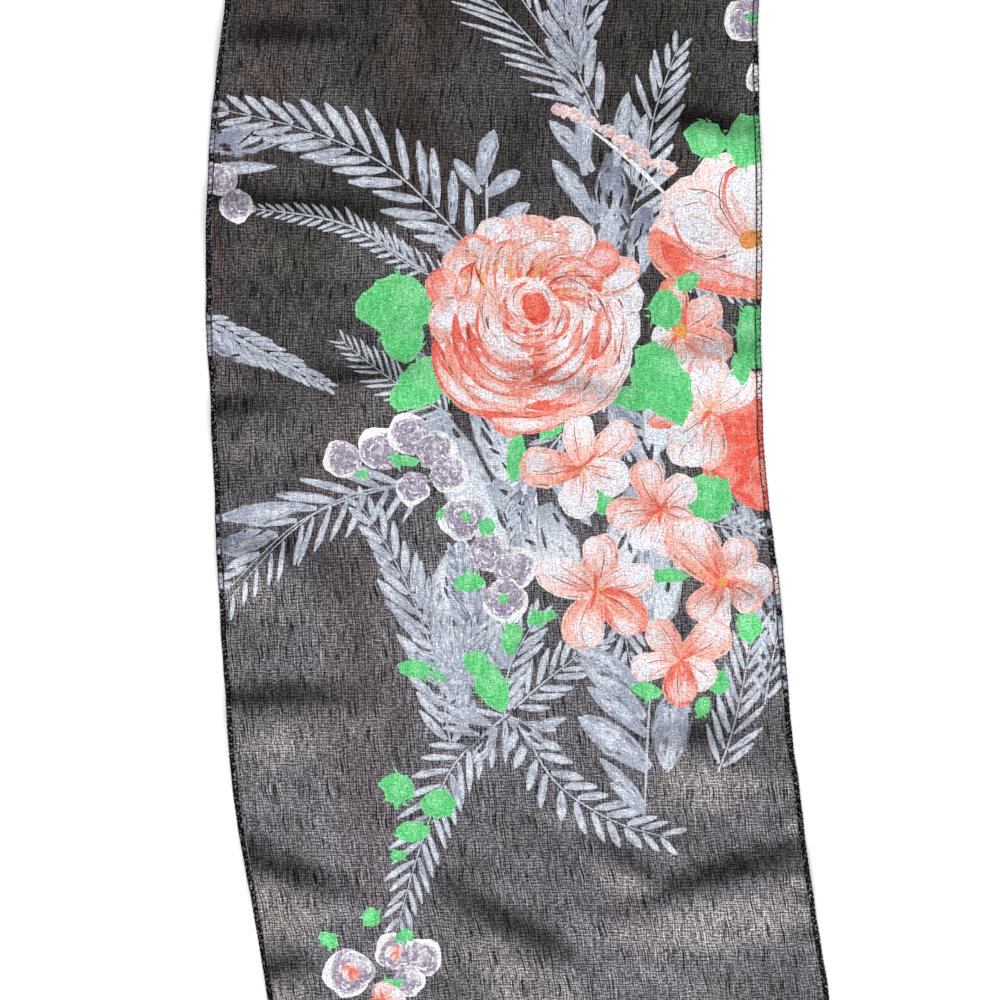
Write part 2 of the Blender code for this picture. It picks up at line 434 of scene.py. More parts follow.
def petalPath(root, direction, length, bend, count=7):
    ahead, side = axes(direction)
    shares = 1 - (1 - np.linspace(0, 1, count)) ** 1.4
    return root + length * (shares[:, None] * ahead + bend * (shares**2)[:, None] * side), shares


def petalHalves(shares, half, neck=0.2, widest=0.6, point=0.5):
    # a low point makes a round tip, a high one a sharp tip
    rise = neck + (1 - neck) * np.sin(0.5 * np.pi * np.clip(shares / widest, 0, 1))
    fall = np.clip(1 - ((shares - widest) / (1 - widest)) ** 2, 0, 1) ** point
    return half * np.where(shares < widest, rise, fall)


def petal(root, direction, length, half, paint, widest=0.6, bend=None, level=0, count=7, neck=0.2,
          point=0.5):
    # a petal; its highlight sits a little to one side
    bend = random.uniform(-0.12, 0.12) if bend is None else bend
    path, shares = petalPath(np.array(root, float), direction, length, bend, count)
    stroke(path, petalHalves(shares, half, neck, widest, point), paint, rough=0.07, inner=True,
           off=random.uniform(-0.3, 0.3), level=level)


def innerPetal(heart, turn, length, half, paint):
    # what is drawn on a petal: a paler patch to one side, a thin dark line by it and a few
    # streaks that run out from the flower's heart
    aside = random.choice((-1, 1))
    away, side = axes(turn)
    side = aside * side
    if paint in palerPaint:
        petal(heart + 0.34 * length * away + 0.24 * half * side, turn + aside * random.uniform(4, 12),
              random.uniform(0.54, 0.62) * length, random.uniform(0.5, 0.66) * half, palerPaint[paint],
              widest=0.6, level=1, count=7)
    path = petalPath(heart + 0.2 * length * away - 0.12 * half * side,
                     turn - aside * random.uniform(8, 14),
                     random.uniform(0.5, 0.68) * length, 0.16 * aside, 6)[0]
    stroke(path, random.uniform(0.16, 0.26) * tapers["penLine"], "line", level=2)
    for k in range(3):
        path = petalPath(heart + (1.8 + 0.06 * length) * heading(turn + 22 * (k - 1)),
                         turn + 14 * (k - 1) + random.uniform(-4, 4),
                         random.uniform(0.3, 0.62) * length, random.uniform(-0.1, 0.1), 4)[0]
        stroke(path, random.uniform(0.03, 0.075) * half * tapers["streak"],
               random.choice(("coral", "salmon", "coral", "ochre")), level=2)


def blossom(row):
    # an open flower: listed petals round a small warm heart
    heart = np.array(row["heart"], float)
    for turn, length, half, paint in row["petals"]:
        petal(heart + 0.6 * heading(turn), turn, length, half, paint, random.uniform(0.5, 0.72), count=8,
              neck=0.4, point=random.uniform(0.4, 0.7))
        if paint != "red":
            innerPetal(heart, turn, length, half, paint)
    if row.get("disc"):
        blob(heart, wobbly(row["disc"], 13, 0.06), "red")
        blob(heart + np.array(row["patch"]), oval(18, 11, 70, 13, 0.12), "coral", level=1, off=0.6)
        return
    for turn, length, half, paint in row["petals"]:
        path = petalPath(heart, turn + random.uniform(-14, 14), 0.32 * length, 0.1, 4)[0]
        stroke(path, tapers["dart"], random.choice(("coral", "heart", "ochre")), level=2)
    if row.get("stamen"):
        blob(heart, wobbly(row["stamen"], 9, 0.12), "stamen")


def crescent(centre, radius, start, sweep, half, paint, inward=0.0, count=7, level=1, off=0.0):
    # a curved petal edge: an arc whose radius may shrink along the way
    shares = np.linspace(0, 1, count)
    path = roundAbout(centre, np.radians(start + sweep * shares), radius * (1 - inward * shares))
    shape = np.sin(np.pi * (0.03 + 0.97 * shares)) ** (0.6 + 0.004 * min(sweep, 100))
    shape[-1] = 0.0
    stroke(path, half * shape, paint, rough=0.10, level=level, inner=half > 1.0, off=off)


# the full bloom: its outer petals first, then cupped rows that close in on the heart
bloom = {
    "centre": (-2.0, 79.0),
    "heart": (-1.0, 88.0),
    "reach": 42.0,          # radius of its round back
    "arcs": 105,            # thin curved strokes drawn all over it
    "flicks": 70,           # and out of its heart
    # turn from the heart, reach, half width, paint
    "outer": ((170, 50, 9, "coral"), (194, 48, 12, "salmon"), (213, 50, 9, "salmon"),
              (256, 61, 11, "coral"), (234, 56, 13, "pale"), (271, 57, 9, "salmon"),
              (286, 52, 10, "coral"), (322, 52, 13, "salmon"), (304, 54, 12, "white"),
              (344, 50, 13, "white"), (2, 50, 10, "white"), (17, 51, 8, "salmon"),
              (36, 45, 9, "coral"), (58, 44, 11, "pale"), (78, 39, 9, "salmon"), (98, 41, 14, "salmon"),
              (117, 44, 9, "pale"), (139, 44, 10, "coral"), (156, 46, 9, "salmon")),
    # cupped petals below and beside the heart, then beyond it: radius, first turn, sweep, half
    # width, paint and the paint of its pale patch
    "cups": ((44, 186, 70, 5.5, "coral", "pale"), (45, 236, 60, 5, "coral", "pale"),
             (43, 288, 74, 7.5, "pale", "white"), (39, 190, 80, 4.4, "salmon", "white"),
             (38, 262, 72, 4.4, "coral", "pale"), (38, 322, 56, 7, "pale", "white"),
             (34, 172, 96, 4.2, "coral", "salmon"), (33, 250, 84, 4.4, "salmon", "white"),
             (33, 326, 44, 4.4, "coral", "pale"), (28.5, 186, 104, 4, "coral", "pale"),
             (28, 272, 84, 4.2, "coral", "white"), (24, 168, 112, 3.6, "coral", "salmon"),
             (23.5, 268, 92, 3.6, "coral", "pale"), (19.5, 140, 134, 5.6, "pale", "white"),
             (19, 262, 80, 3.4, "salmon", "white"), (14.5, 196, 120, 3, "coral", "pale"),
             (14.5, 300, 74, 2.6, "coral", "white"), (36, 128, 34, 4.6, "coral", "ochre"),
             (35, 96, 36, 4.8, "salmon", "pale"), (35, 62, 36, 4.6, "pale", "white"),
             (34, 26, 40, 4.4, "coral", "salmon"), (29, 122, 44, 4, "ochre", "pale"),
             (28, 84, 44, 3.8, "pale", "white"), (28, 44, 44, 3.6, "coral", "ochre"),
             (27, 14, 36, 3.4, "coral", "pale"), (22, 104, 60, 3.6, "pale", "white"),
             (21, 60, 54, 3, "coral", "ochre"), (21, 16, 50, 3, "salmon", "pale"),
             (16, 86, 80, 2.8, "salmon", "pale"), (15.5, 30, 66, 2.6, "coral", "pale")),
    # strokes that swirl up and out of the heart: turn and reach at both ends, half width
    "swirls": ((160, 24, 126, 34, 3.6, "ochre"), (166, 16, 140, 26, 2.2, "pale"),
               (146, 14, 122, 28, 1.6, "pale"), (132, 14, 98, 31, 3.0, "ochre"),
               (122, 12, 98, 25, 1.4, "coral"),
               (110, 12, 86, 30, 1.7, "pale"), (99, 12, 76, 26, 1.4, "coral"),
               (88, 12, 60, 32, 2.4, "ochre"), (76, 11, 52, 26, 1.5, "coral"),
               (64, 11, 40, 29, 1.7, "salmon"), (52, 11, 28, 26, 1.5, "coral"),
               (40, 11, 17, 28, 1.6, "pale"), (27, 12, 4, 27, 1.5, "ochre"),
               (14, 12, -8, 30, 1.5, "coral")),
}


def swirl(turn, near, endTurn, far, half, paint, level=1):
    # a stroke that winds outwards round the bloom's heart
    shares = np.linspace(0, 1, 6)
    turns = np.radians(turn + (endTurn - turn) * shares)
    path = roundAbout(bloom["heart"], turns, near + (far - near) * shares)
    stroke(path, half * tapers["swirl"], paint, rough=0.16, level=level, inner=half > 1.2,
           off=random.uniform(-0.4, 0.4))


def cupped(middle, radius, start, sweep, half, paint, light):
    # one petal of the bloom: its shaded body, a pale patch and a drawn line
    start += random.uniform(-4, 4)
    crescent(middle, radius + random.uniform(-0.6, 0.6), start, sweep, half * random.uniform(0.95, 1.15),
             paint, 0.04, 7 + int(sweep / 14), off=random.uniform(-0.3, 0.3))
    crescent(middle, radius + random.uniform(-0.1, 0.35) * half,
             start + random.uniform(0.1, 0.45) * sweep, random.uniform(0.35, 0.55) * sweep,
             random.uniform(0.45, 0.7) * half, light, 0.03, 6 + int(sweep / 18),
             off=random.uniform(-0.3, 0.3))
    crescent(middle, radius - 0.62 * half * random.choice((-1, 1)), start + 0.1 * sweep,
             random.uniform(0.4, 0.75) * sweep, random.uniform(0.16, 0.24), "line", 0.03, 6, level=2)


def peony():
    heart = np.array(bloom["heart"])
    shift = np.array(bloom["centre"]) - heart
    blob(bloom["centre"], wobbly(bloom["reach"], 26, 0.03), "salmon")
    for index, (turn, reach, half, paint) in enumerate(bloom["outer"]):
        petal(heart + 10 * heading(turn), turn, reach - 10, half, paint, widest=0.74, level=1, count=9)
        if index % 3:
            petal(heart + 18 * heading(turn), turn + random.uniform(-8, 8), reach - 20,
                  random.uniform(0.35, 0.6) * half, "pale" if paint == "coral" else "white",
                  widest=random.uniform(0.6, 0.8), level=1, count=7)
    for radius, start, sweep, half, paint, light in bloom["cups"]:
        cupped(heart + shift * radius / bloom["reach"], radius, start, sweep, half, paint, light)
    for row in bloom["swirls"]:
        swirl(*row)
    lively = ("line", "coral", "white", "red", "pale", "line", "coral", "white", "salmon", "coral")
    for k in range(bloom["arcs"]):
        radius = random.uniform(9, 46)
        crescent(heart + shift * radius / bloom["reach"], radius, random.uniform(135, 375),
                 random.uniform(160, 520) / radius, random.uniform(0.16, 0.5), random.choice(lively),
                 random.uniform(-0.03, 0.06), 5, level=2)
    for k in range(bloom["flicks"]):
        turn = random.uniform(0, 172)
        near = random.uniform(10, 34)
        swirl(turn, near, turn - random.uniform(8, 30), near + random.uniform(3, 9),
              random.uniform(0.18, 0.6), random.choice(lively + ("ochre", "ochre")), level=2)
    ring = heart + np.array([-1.5, 0.5])
    blob(ring, oval(24.5, 20.0, 120, 18, 0.05), "pale", level=1, off=0.2)
    for k in range(7):
        crescent(ring, 9.6 - 0.4 * k, 100 + 47 * k + random.uniform(-14, 14), random.uniform(70, 120),
                 random.uniform(0.8, 1.5),
                 ("coral", "white", "salmon", "white", "coral", "white", "salmon")[k], 0.16, 7,
                 level=1 if k < 3 else 2)
        crescent(ring, 10.0 - 0.5 * k, random.uniform(60, 330), random.uniform(50, 100),
                 0.16, "line", 0.14, 5, level=2)
    blob(heart + np.array([1.0, -1.4]), oval(16.0, 12.0, 115, 16, 0.09), "heart", level=1)
    for k in range(6):
        crescent(heart + np.array([1.0, -1.2]), random.uniform(4.8, 8.0), 75 + 52 * k, 50, 0.4,
                 ("pale", "red", "salmon", "line", "red", "pale")[k], 0.1, 5, level=2)


def floret(x, y, radius, white, green):
    # a crinkled mauve flower of uneven lobes over a white one set a little to one side
    centre = np.array([x, y], float)
    blob(centre + 0.17 * radius * heading(white), wobbly(1.0 * radius, 17, 0.05, 4, 0.05), "white edge")
    blob(centre, wobbly(0.9 * radius, 17, 0.06, random.choice((3, 4, 5)), 0.09), "mauve",
         off=random.uniform(-0.3, 0.3))
    for k in range(3):
        turn = 120.0 * k + random.uniform(-35, 35)
        blob(centre + 0.42 * radius * heading(turn), wobbly(0.28 * radius, 7, 0.25), "mauveDeep", level=2)
    for k in range(9):
        turn = 40.0 * k + random.uniform(-16, 16)
        spot = centre + random.choice((0.25, 0.5, 0.6)) * radius * heading(turn)
        crescent(spot, random.uniform(0.14, 0.36) * radius, turn + random.uniform(-110, -40),
                 random.uniform(60, 150), random.uniform(0.03, 0.06) * radius, "white edge",
                 inward=0.2, count=5, level=2)
    if green:
        blob(centre + random.uniform(-0.15, 0.15) * radius, wobbly(0.24 * radius, 7, 0.25), "leaf")
    for k in range(4 if green is None else 0):
        # a coral middle of a few loose dabs
        turn = white - 100 + 68 * k
        petal(centre - 0.12 * radius * heading(turn), turn, random.uniform(0.5, 0.72) * radius,
              random.uniform(0.18, 0.27) * radius, ("salmon", "coral", "pale", "coral")[k], level=1)


def greenLeaf(x, y, length, width, turn):
    # a bright leaf: a broad ragged patch with a drawn-out tip and a few thorns
    count = 22 if length > 18 else 13
    radii = oval(length, width, turn, count, 0.035)
    for k in range(count):
        away = math.degrees(2 * math.pi * k / count) - turn
        forward = max(0.0, math.cos(math.radians(away)))
        radii[k] *= 1 + 0.24 * forward**12 + (0.03, -0.03)[k % 2]
    for k in random.sample(range(count), 2):
        radii[k] *= 0.86
    centre = np.array([x, y])
    blob(centre, radii, "leaf", off=random.uniform(-0.3, 0.3))
    for k in range(6 if length > 14 else 3):
        thorn = turn + random.uniform(60, 300)
        reach = ovalReach(0.46, length, width, math.radians(thorn - turn))
        path = petalPath(centre + reach * heading(thorn), thorn + random.uniform(-50, 50),
                         random.uniform(1.4, 3.2) + 0.05 * length, 0.25, 3)[0]
        stroke(path, random.uniform(0.5, 0.9) * tapers["thorn"], "leaf", level=2)


def broadLeaf(x0, y0, x1, y1, half, bend, widest, slits, paint):
    # a grey-blue leaf or wash, widest past its middle; a wash gets dark slits between dabs
    start = np.array([x0, y0], float)
    end = np.array([x1, y1], float)
    reach = np.linalg.norm(end - start)
    turn = math.degrees(math.atan2(*(end - start)[::-1]))
    path, shares = petalPath(start, turn, reach, bend, 6)
    stroke(path, petalHalves(shares, half, 0.35, widest, 0.8), paint, rough=0.08, inner=half > 2.0)
    ahead, side = axes(turn)
    for k in range(slits):
        share = random.uniform(0.08, 0.9)
        aside = side * random.uniform(-0.8, 0.8) * half
        root = start + share * reach * ahead + aside * math.sin(math.pi * min(1.0, share + 0.1))
        slit = petalPath(root, turn + random.uniform(-30, 30), random.uniform(5, 12), 0.1, 4)[0]
        stroke(slit, random.uniform(0.5, 1.2) * tapers["slit"], "gap",
               level=1 if k < 3 else 2)


def budSpike(stem, chain, buds):
    # a thin white stem and beside it a ragged chain of small pink flowers
    stroke(curveThrough(stem, 8), tapers["budStem"], "white edge")
    for k, spot in enumerate(curveThrough(chain, buds)):
        size = random.uniform(8.0, 10.5)
        blob(spot + random.uniform(-0.8, 0.8), oval(size, 0.62 * size, random.uniform(100, 190), 12, 0.2),
             ("bud", "pale", "bud")[k % 3])
        for step in range(4):
            place = spot + random.uniform(0.1, 0.36) * size * heading(90 * step + random.uniform(-30, 30))
            blob(place, oval(0.34 * size, 0.16 * size, random.uniform(0, 180), 6, 0.2),
                 random.choice(("coral", "white", "salmon", "mauve", "pale")), level=2)


# the printed spray, in millimetres; first its ferns: foot, points on the way, tip, pairs of
# leaflets, their length, half width and lean; some rows end with what else is special
frondColumns = ("base", "via", "tip", "pairs", "length", "half", "lean", "more")
fronds = (
    # above and to the left of the full bloom
    ((-28, 112), ((-64, 148), (-102, 166)), (-143, 176), 14, 25, 2.1, 46, {"rise": 0.95}),
    ((-50, 103), ((-86, 124),), (-128, 131), 19, 9.5, 0.8, 50, {"stem": 0.8}),
    ((-38, 98), ((-54, 104),), (-72, 116), 8, 14, 0.7, 50, {"left": 0}),
    ((24, 176), ((-3, 208), (-20, 226)), (-38, 250), 14, 33, 1, 32, {"right": 0, "curl": -0.08}),
    ((14, 198), ((-4, 222),), (-22, 250), 8, 16, 1, 30, {"left": 0}),
    ((28, 172), ((17, 200),), (10, 252), 9, 20, 2.3, 30, {"rise": 1}),
    ((20, 192), ((22, 216),), (36, 262), 8, 17, 1.9, 34),
    ((48, 136), ((53, 172),), (64, 204), 9, 21, 1.6, 42),
    ((38, 112), ((42, 128),), (50, 150), 6, 25, 1.3, 44, {"left": 0, "curl": 0, "rise": 1}),
    # from the left edge and towards it
    ((-151, 82), ((-122, 66),), (-93, 51), 14, 13, 1.2, 30, {"stem": 1.2}),
    ((-38, 38), ((-62, 52),), (-88, 72), 14, 14, 0.75, 52),
    ((-46, 9), ((-84, 2), (-112, -16)), (-139, -46), 13, 22, 1.3, 60, {"right": 0, "rise": 0.9}),
    ((-56, 8), ((-88, -1), (-112, -14)), (-140, -42), 10, 25, 2, 40, {"left": 0, "rise": 1}),
    # below the florets
    ((-38, -112), ((-46, -70), (-62, -30)), (-80, 0), 14, 22, 2.1, 40, {"rise": 0.9}),
    ((-22, -88), ((-28, -56),), (-36, -22), 9, 18, 2.2, 34, {"paint": "wash"}),
    ((-12, -96), ((-36, -118), (-50, -150)), (-64, -198), 17, 19, 1.45, 56, {"rise": 0.9}),
    ((-8, -98), ((8, -126), (34, -144)), (60, -152), 11, 15, 1.9, 56, {"rise": 0.9, "fade": 0.25}),
    ((-10, -94), ((6, -80),), (30, -62), 8, 18, 1.5, 46),
    ((-14, -98), ((-12, -76),), (2, -50), 8, 17, 1.5, 42),
    ((-30, -104), ((-36, -84),), (-26, -56), 8, 16, 1.5, 42),
    ((-28, -84), ((-44, -66),), (-52, -44), 7, 13, 1.5, 42),
    # towards the right edge
    ((82, -122), ((90, -98),), (98, -58), 9, 19, 1.4, 40, {"rise": 0.9, "fade": 0.3}),
    ((103, -92), ((106, -74),), (112, -48), 6, 14, 1.1, 38),
    ((54, -30), ((40, -50),), (44, -80), 7, 15, 1.6, 44),
    ((12, 30), ((-4, 8),), (-8, -18), 9, 15, 1.5, 38, {"paint": "wash"}),
    ((66, 100), ((82, 95),), (104, 92), 9, 8, 0.8, 62),
    ((66, -6), ((84, -12),), (106, -14), 8, 11, 1.1, 50),
    ((24, 60), ((36, 42),), (40, 18), 6, 12, 1.4, 40),
)

# washes and single leaves: from, to, half width, bend, where widest, dark slits, paint
leafColumns = ("x0", "y0", "x1", "y1", "half", "bend", "widest", "slits", "paint")
leaves = (
    (-46, 40, -16, -30, 11, 0.05, 0.5, 9, "washPale"),
    (-28, 44, -4, -6, 9, 0.1, 0.45, 9, "washPale"),
    (-20, 8, 14, -34, 10, 0.05, 0.55, 12, "washPale"),
    (-38, -86, -36, -16, 12, -0.05, 0.6, 5, "washPale"),
    (-14, -76, -14, -32, 8, 0, 0.6, 6, "washPale"),
    (35, 156, 30, 106, 9.5, 0.06, 0.55, 7, "fernDark"),
    (50, 132, 44, 100, 7, 0.06, 0.5, 4, "fernDark"),
    (36, 46, 56, 8, 8, 0.05, 0.45, 4, "wash"),
    (60, -14, 50, -62, 11, 0.05, 0.5, 4, "washPale"),
    (44, 6, 36, -34, 8, 0.05, 0.5, 3, "washPale"),
    (4, -2, 16, -40, 9, 0.05, 0.5, 4, "washPale"),
    (60, 60, 52, 20, 9, 0.05, 0.5, 3, "washPale"),
    (76, 104, 78, 62, 7, 0.05, 0.5, 6, "wash"),
    (88, 8, 96, -24, 8, 0.05, 0.5, 8, "wash"),
    (100, -36, 104, -66, 7, 0.05, 0.45, 5, "wash"),
    (-30, 104, -44, 122, 6, 0.08, 0.55, 0, "wash"),
    (-54, 66, -30, 40, 5, 0.05, 0.5, 2, "wash"),
    (50, -12, 44, -46, 3, 0.05, 0.5, 0, "wash"),
    (-141, -8, -104, -4, 5, 0.05, 0.45, 0, "fern"),
    (-143, -22, -116, -16, 6, 0.05, 0.4, 3, "wash"),
    (-150, 74, -116, 60, 6, 0, 0.35, 5, "wash"),
    (-148, 160, -112, 164, 8, 0, 0.4, 7, "wash"),
    (-148, 149, -116, 150, 3, 0, 0.4, 0, "fern"),
    (26, 148, 8, 172, 4.2, 0.08, 0.6, 0, "fern"),
    (27, 124, 11, 155, 4.8, 0.12, 0.62, 0, "fern"),
    (22, 146, 20, 182, 4.2, -0.06, 0.6, 0, "fern"),
    (36, 150, 40, 184, 3.8, -0.05, 0.62, 0, "fern"),
    (44, 142, 48, 174, 3.8, -0.05, 0.62, 0, "fern"),
    (-25, 142, -20, 167, 4.6, -0.05, 0.66, 0, "fern"),
    (-25, 138, -36, 154, 3.4, 0.05, 0.62, 0, "fern"),
    (-22, 137, -8, 149, 4.2, -0.08, 0.62, 0, "fern"),
    (-18, 124, -3, 134, 4, -0.05, 0.55, 0, "fern"),
    (-22, 148, -22, 124, 0.7, 0, 0.5, 0, "fern"),
    (48, -84, 16, -60, 4.6, 0.1, 0.5, 0, "fern"),
    (49, -98, 22, -70, 5.2, 0.08, 0.52, 0, "fern"),
    (50, -106, 25, -82, 4.4, 0.08, 0.55, 0, "fern"),
    (51, -121, 22, -94, 7.4, 0.12, 0.5, 0, "fern"),
    (49, -138, 30, -115, 3.4, 0.06, 0.5, 0, "fern"),
    (49, -141, 34, -126, 2.6, 0.06, 0.5, 0, "fern"),
    (52, -80, 47, -146, 0.6, 0.03, 0.4, 0, "stem"),
    (64, -84, 56, -122, 9, 0.08, 0.42, 0, "fern"),
    (70, 30, 56, 44, 4, 0.05, 0.55, 0, "fern"),
    (2, 20, 22, -14, 4, 0.1, 0.55, 0, "fern"),
    (104, 160, 92, 138, 4, 0.05, 0.55, 0, "fern"),
    (-22, -100, -42, -92, 3.4, 0, 0.5, 0, "fern"),
    (-18, -102, -28, -118, 4.4, 0, 0.6, 4, "fern"),
    (-12, -98, 4, -112, 4, 0, 0.6, 3, "fern"),
    (0, -102, 14, -98, 2.2, 0, 0.5, 0, "fern"),
)

greenColumns = ("x", "y", "length", "width", "turn")
greens = (
    (-62, 88, 32, 27, 188), (-60, 74, 22, 20, 268), (-50, 53, 30, 20, 215),
    (-36, 50, 12, 10, 330), (56, 54, 36, 25, 300), (42, 46, 26, 10, 170),
    (58, 85, 17, 15, 90), (77, 162, 18, 17, 160), (94, 161, 23, 17, 82),
    (96, 74, 28, 11, 268), (92, 60, 14, 8, 280), (77, 1, 23, 22, 180),
    (-9, 20, 19, 8, 262), (7, 33, 13, 9, 40), (31, -2, 11, 9, 100),
    (-30, -37, 13, 9, 10), (2, -53, 14, 6, 15), (-11, -62, 14, 9, 262),
    (-20, -84, 20, 14, 300), (-26, -74, 13, 11, 150), (-54, -76, 15, 8, 175),
    (-44, -79, 8, 3, 340), (-62, -130, 15, 14, 160), (-44, -137, 13, 16, 95),
    (-56, -149, 9, 16, 270), (-62, -160, 7, 5, 180), (50, -86, 14, 7, 170),
    (82, -82, 11, 10, 120), (75, -93, 9, 7, 60), (96, -57, 13, 12, 280),
    (-74, -188, 8, 9, 100), (-59, -196, 9, 5, 200), (-93, -198, 9, 7, 150),
    (-66, -219, 12, 7, 190), (-60, 18, 14, 5, 350), (-78, 12, 6, 3, 20),
    (-22, -12, 7, 8, 80), (68, 98, 11, 8, 30), (104, 212, 8, 6, 90),
    (102, 186, 10, 5, 170), (60, -34, 6, 22, 90), (-43, -6, 5, 3, 40),
)

# florets: place, radius, which way their white one is set off, and a green heart or not; None
# gives a coral one
floretColumns = ("x", "y", "radius", "white", "green")
florets = (
    (-86, 19, 8.5, 200, False), (-70, 22, 9.5, 120, False), (-56, 29, 9.5, 150, False),
    (-46, 22, 9, 20, False), (-40, 12, 8.5, 340, False), (-55, 6, 7.5, 250, False),
    (-32, -8, 10, 200, True), (-22, -24, 9, 30, False), (-10, -30, 9.5, 350, False),
    (-14, -44, 10, 290, True), (-141, 145, 7.5, 240, False), (-135, 133, 7.5, 300, False),
    (96, 216, 10, 180, True), (103, 190, 7.5, 180, False), (-52, -207, 9, 60, False),
    (-63, -204, 8.5, 140, None), (-83, -212, 11, 205, None), (-58, -216, 7, 340, False),
)

# blossoms: heart and petals, each a turn, a length, a half width and a paint
blossoms = (
    {"heart": (65, 76), "stamen": 3.4,
     "petals": ((200, 13, 6, "white"), (308, 24, 9, "pale"), (340, 25, 9, "salmon"),
                (38, 22, 7.5, "salmon"), (105, 24, 7, "coral"), (245, 22, 6, "pale"))},
    {"heart": (93, 36), "disc": 13, "patch": (9, -22),
     "petals": ((285, 42, 15, "red"), (250, 34, 14, "red"), (20, 26, 13, "red"), (320, 30, 14, "red"),
                (60, 22, 10, "red"))},
    {"heart": (78, 40),
     "petals": ((190, 28, 4.5, "coral"), (120, 26, 10, "pale"), (92, 26, 10, "salmon"),
                (40, 26, 8.5, "pale"), (108, 19, 6, "white"), (268, 26, 8, "salmon"),
                (240, 28, 9, "pale"), (216, 20, 6, "white"))},
    {"heart": (56, -5),
     "petals": ((115, 24, 8, "salmon"), (47, 20, 8, "pale"), (331, 17, 7, "salmon"),
                (275, 20, 7, "pale"), (236, 20, 7, "white"), (187, 24, 7.5, "salmon"))},
    {"heart": (21, 15),
     "petals": ((38, 29, 7.5, "salmon"), (343, 22, 8.5, "white"), (262, 23, 8.5, "white"),
                (184, 28, 9.5, "salmon"), (96, 25, 7, "pale"))},
    {"heart": (84, -37), "stamen": 2.2,
     "petals": ((61, 22, 8.5, "salmon"), (0, 23, 9, "pale"), (328, 20, 7, "salmon"),
                (254, 27, 7, "white"), (228, 21, 7, "salmon"), (130, 35, 11.5, "salmon"))},
    {"heart": (27, -41),
     "petals": ((83, 26, 8.5, "salmon"), (14, 27, 8, "pale"), (325, 28, 9, "coral"),
                (251, 27, 9.5, "salmon"), (158, 29, 9, "pale"))},
    {"heart": (65, -72),
     "petals": ((36, 26, 9, "salmon"), (125, 21, 7.5, "salmon"), (325, 18, 7.5, "pale"),
                (189, 22, 6.5, "pale"), (272, 21, 8, "coral"))},
    {"heart": (-68, -226),
     "petals": ((100, 9, 5, "salmon"), (20, 9, 5, "pale"), (200, 8, 4, "coral"),
                (300, 9, 5, "white"))},
)

# the wide pale bloom at the edge, cupped over a coral under-petal
openBloom = {
    "heart": (96, 117),
    "petals": ((152, 44, 15, "pale"), (112, 42, 13, "pale"), (178, 45, 12, "pale"),
               (82, 34, 13, "white")),
    "under": ((((53, 122), (60, 110), (78, 102), (102, 99)), (1, 7, 9, 8.5, 7.5, 6), "salmon"),
              (((56, 117), (67, 105), (84, 98), (102, 94)), (0.5, 4.5, 6.5, 6, 5, 3.5), "coral")),
    "over": ((156, 37, 13, "white"), (92, 33, 10, "white"), (250, 14, 8, "white"), (128, 30, 7, "pale")),
    # drawn edges: points, half width, paint
    "edges": ((((93, 151), (86, 146), (85, 132), (93, 120)), 0.9, "coral"),
              (((91, 150), (84, 146), (83, 132), (92, 118)), 0.25, "line"),
              (((62, 126), (66, 116), (77, 108), (92, 112)), 0.25, "line"),
              (((62, 124), (68, 112), (78, 105), (90, 108)), 0.7, "coral"),
              (((68, 140), (80, 138), (88, 128)), 0.22, "line"),
              (((70, 128), (80, 124), (90, 119)), 0.5, "pale"),
              (((66, 132), (74, 134), (84, 130)), 0.4, "salmon")),
}

spike = {"stem": ((60, 136), (41, 154), (23, 168)), "chain": ((11, 175), (30, 167), (45, 157), (59, 149)),
         "buds": 9}


def paintSpray():
    # the whole bouquet once, from the washes at the back to the blooms in front
    washes = [row for row in rowsOf(leafColumns, leaves) if row["paint"].startswith("wash")]
    for row in washes:
        broadLeaf(**row)
    for row in rowsOf(frondColumns, fronds):
        more = row.pop("more", {})
        frond(**row, **more)
    for row in rowsOf(leafColumns, leaves):
        if row not in washes:
            broadLeaf(**row)
    budSpike(**spike)
    for row in rowsOf(floretColumns, florets):
        floret(**row)
    heart = np.array(openBloom["heart"], float)
    for turn, length, half, paint in openBloom["petals"]:
        petal(heart, turn, length, half, paint, widest=0.7)
    for path, halves, paint in openBloom["under"]:
        spots = np.linspace(0, len(halves) - 1, 11)
        halves = np.interp(spots, range(len(halves)), halves)
        stroke(curveThrough(path, 11), halves, paint, rough=0.04, inner=True, off=0.3)
    for turn, length, half, paint in openBloom["over"]:
        petal(heart, turn, length, half, paint, widest=0.6)
    for path, half, paint in openBloom["edges"]:
        stroke(curveThrough(path, 7), half * tapers["drawnEdge"], paint, rough=0.3,
               level=2 if paint == "line" else 1)
    blob(heart, wobbly(4.4, 10, 0.12), "stamen")
    for row in blossoms[:3]:
        blossom(row)
    for row in rowsOf(greenColumns, greens):
        greenLeaf(**row)
    for row in blossoms[3:]:
        blossom(row)
    peony()


# the spray again beyond both ends of the middle stretch, turned over left to right
repeats = (492.0, -492.0)


def carried(points, shift):
    # points of the middle spray moved along the cloth, with the cloth's own drift
    x, y = points[:, 0], points[:, 1]
    across = -(x - middleX(y))
    moved = y + shift
    return np.stack([across + middleX(moved), moved], axis=1)


panelHalf = 0.5 * cloth["length"] - cloth["hemWidth"] + cloth["tuck"]


def panelEdges(along):
    inset = cloth["hemWidth"] - cloth["tuck"]
    return edgeX(along, "left") + inset, edgeX(along, "right") - inset


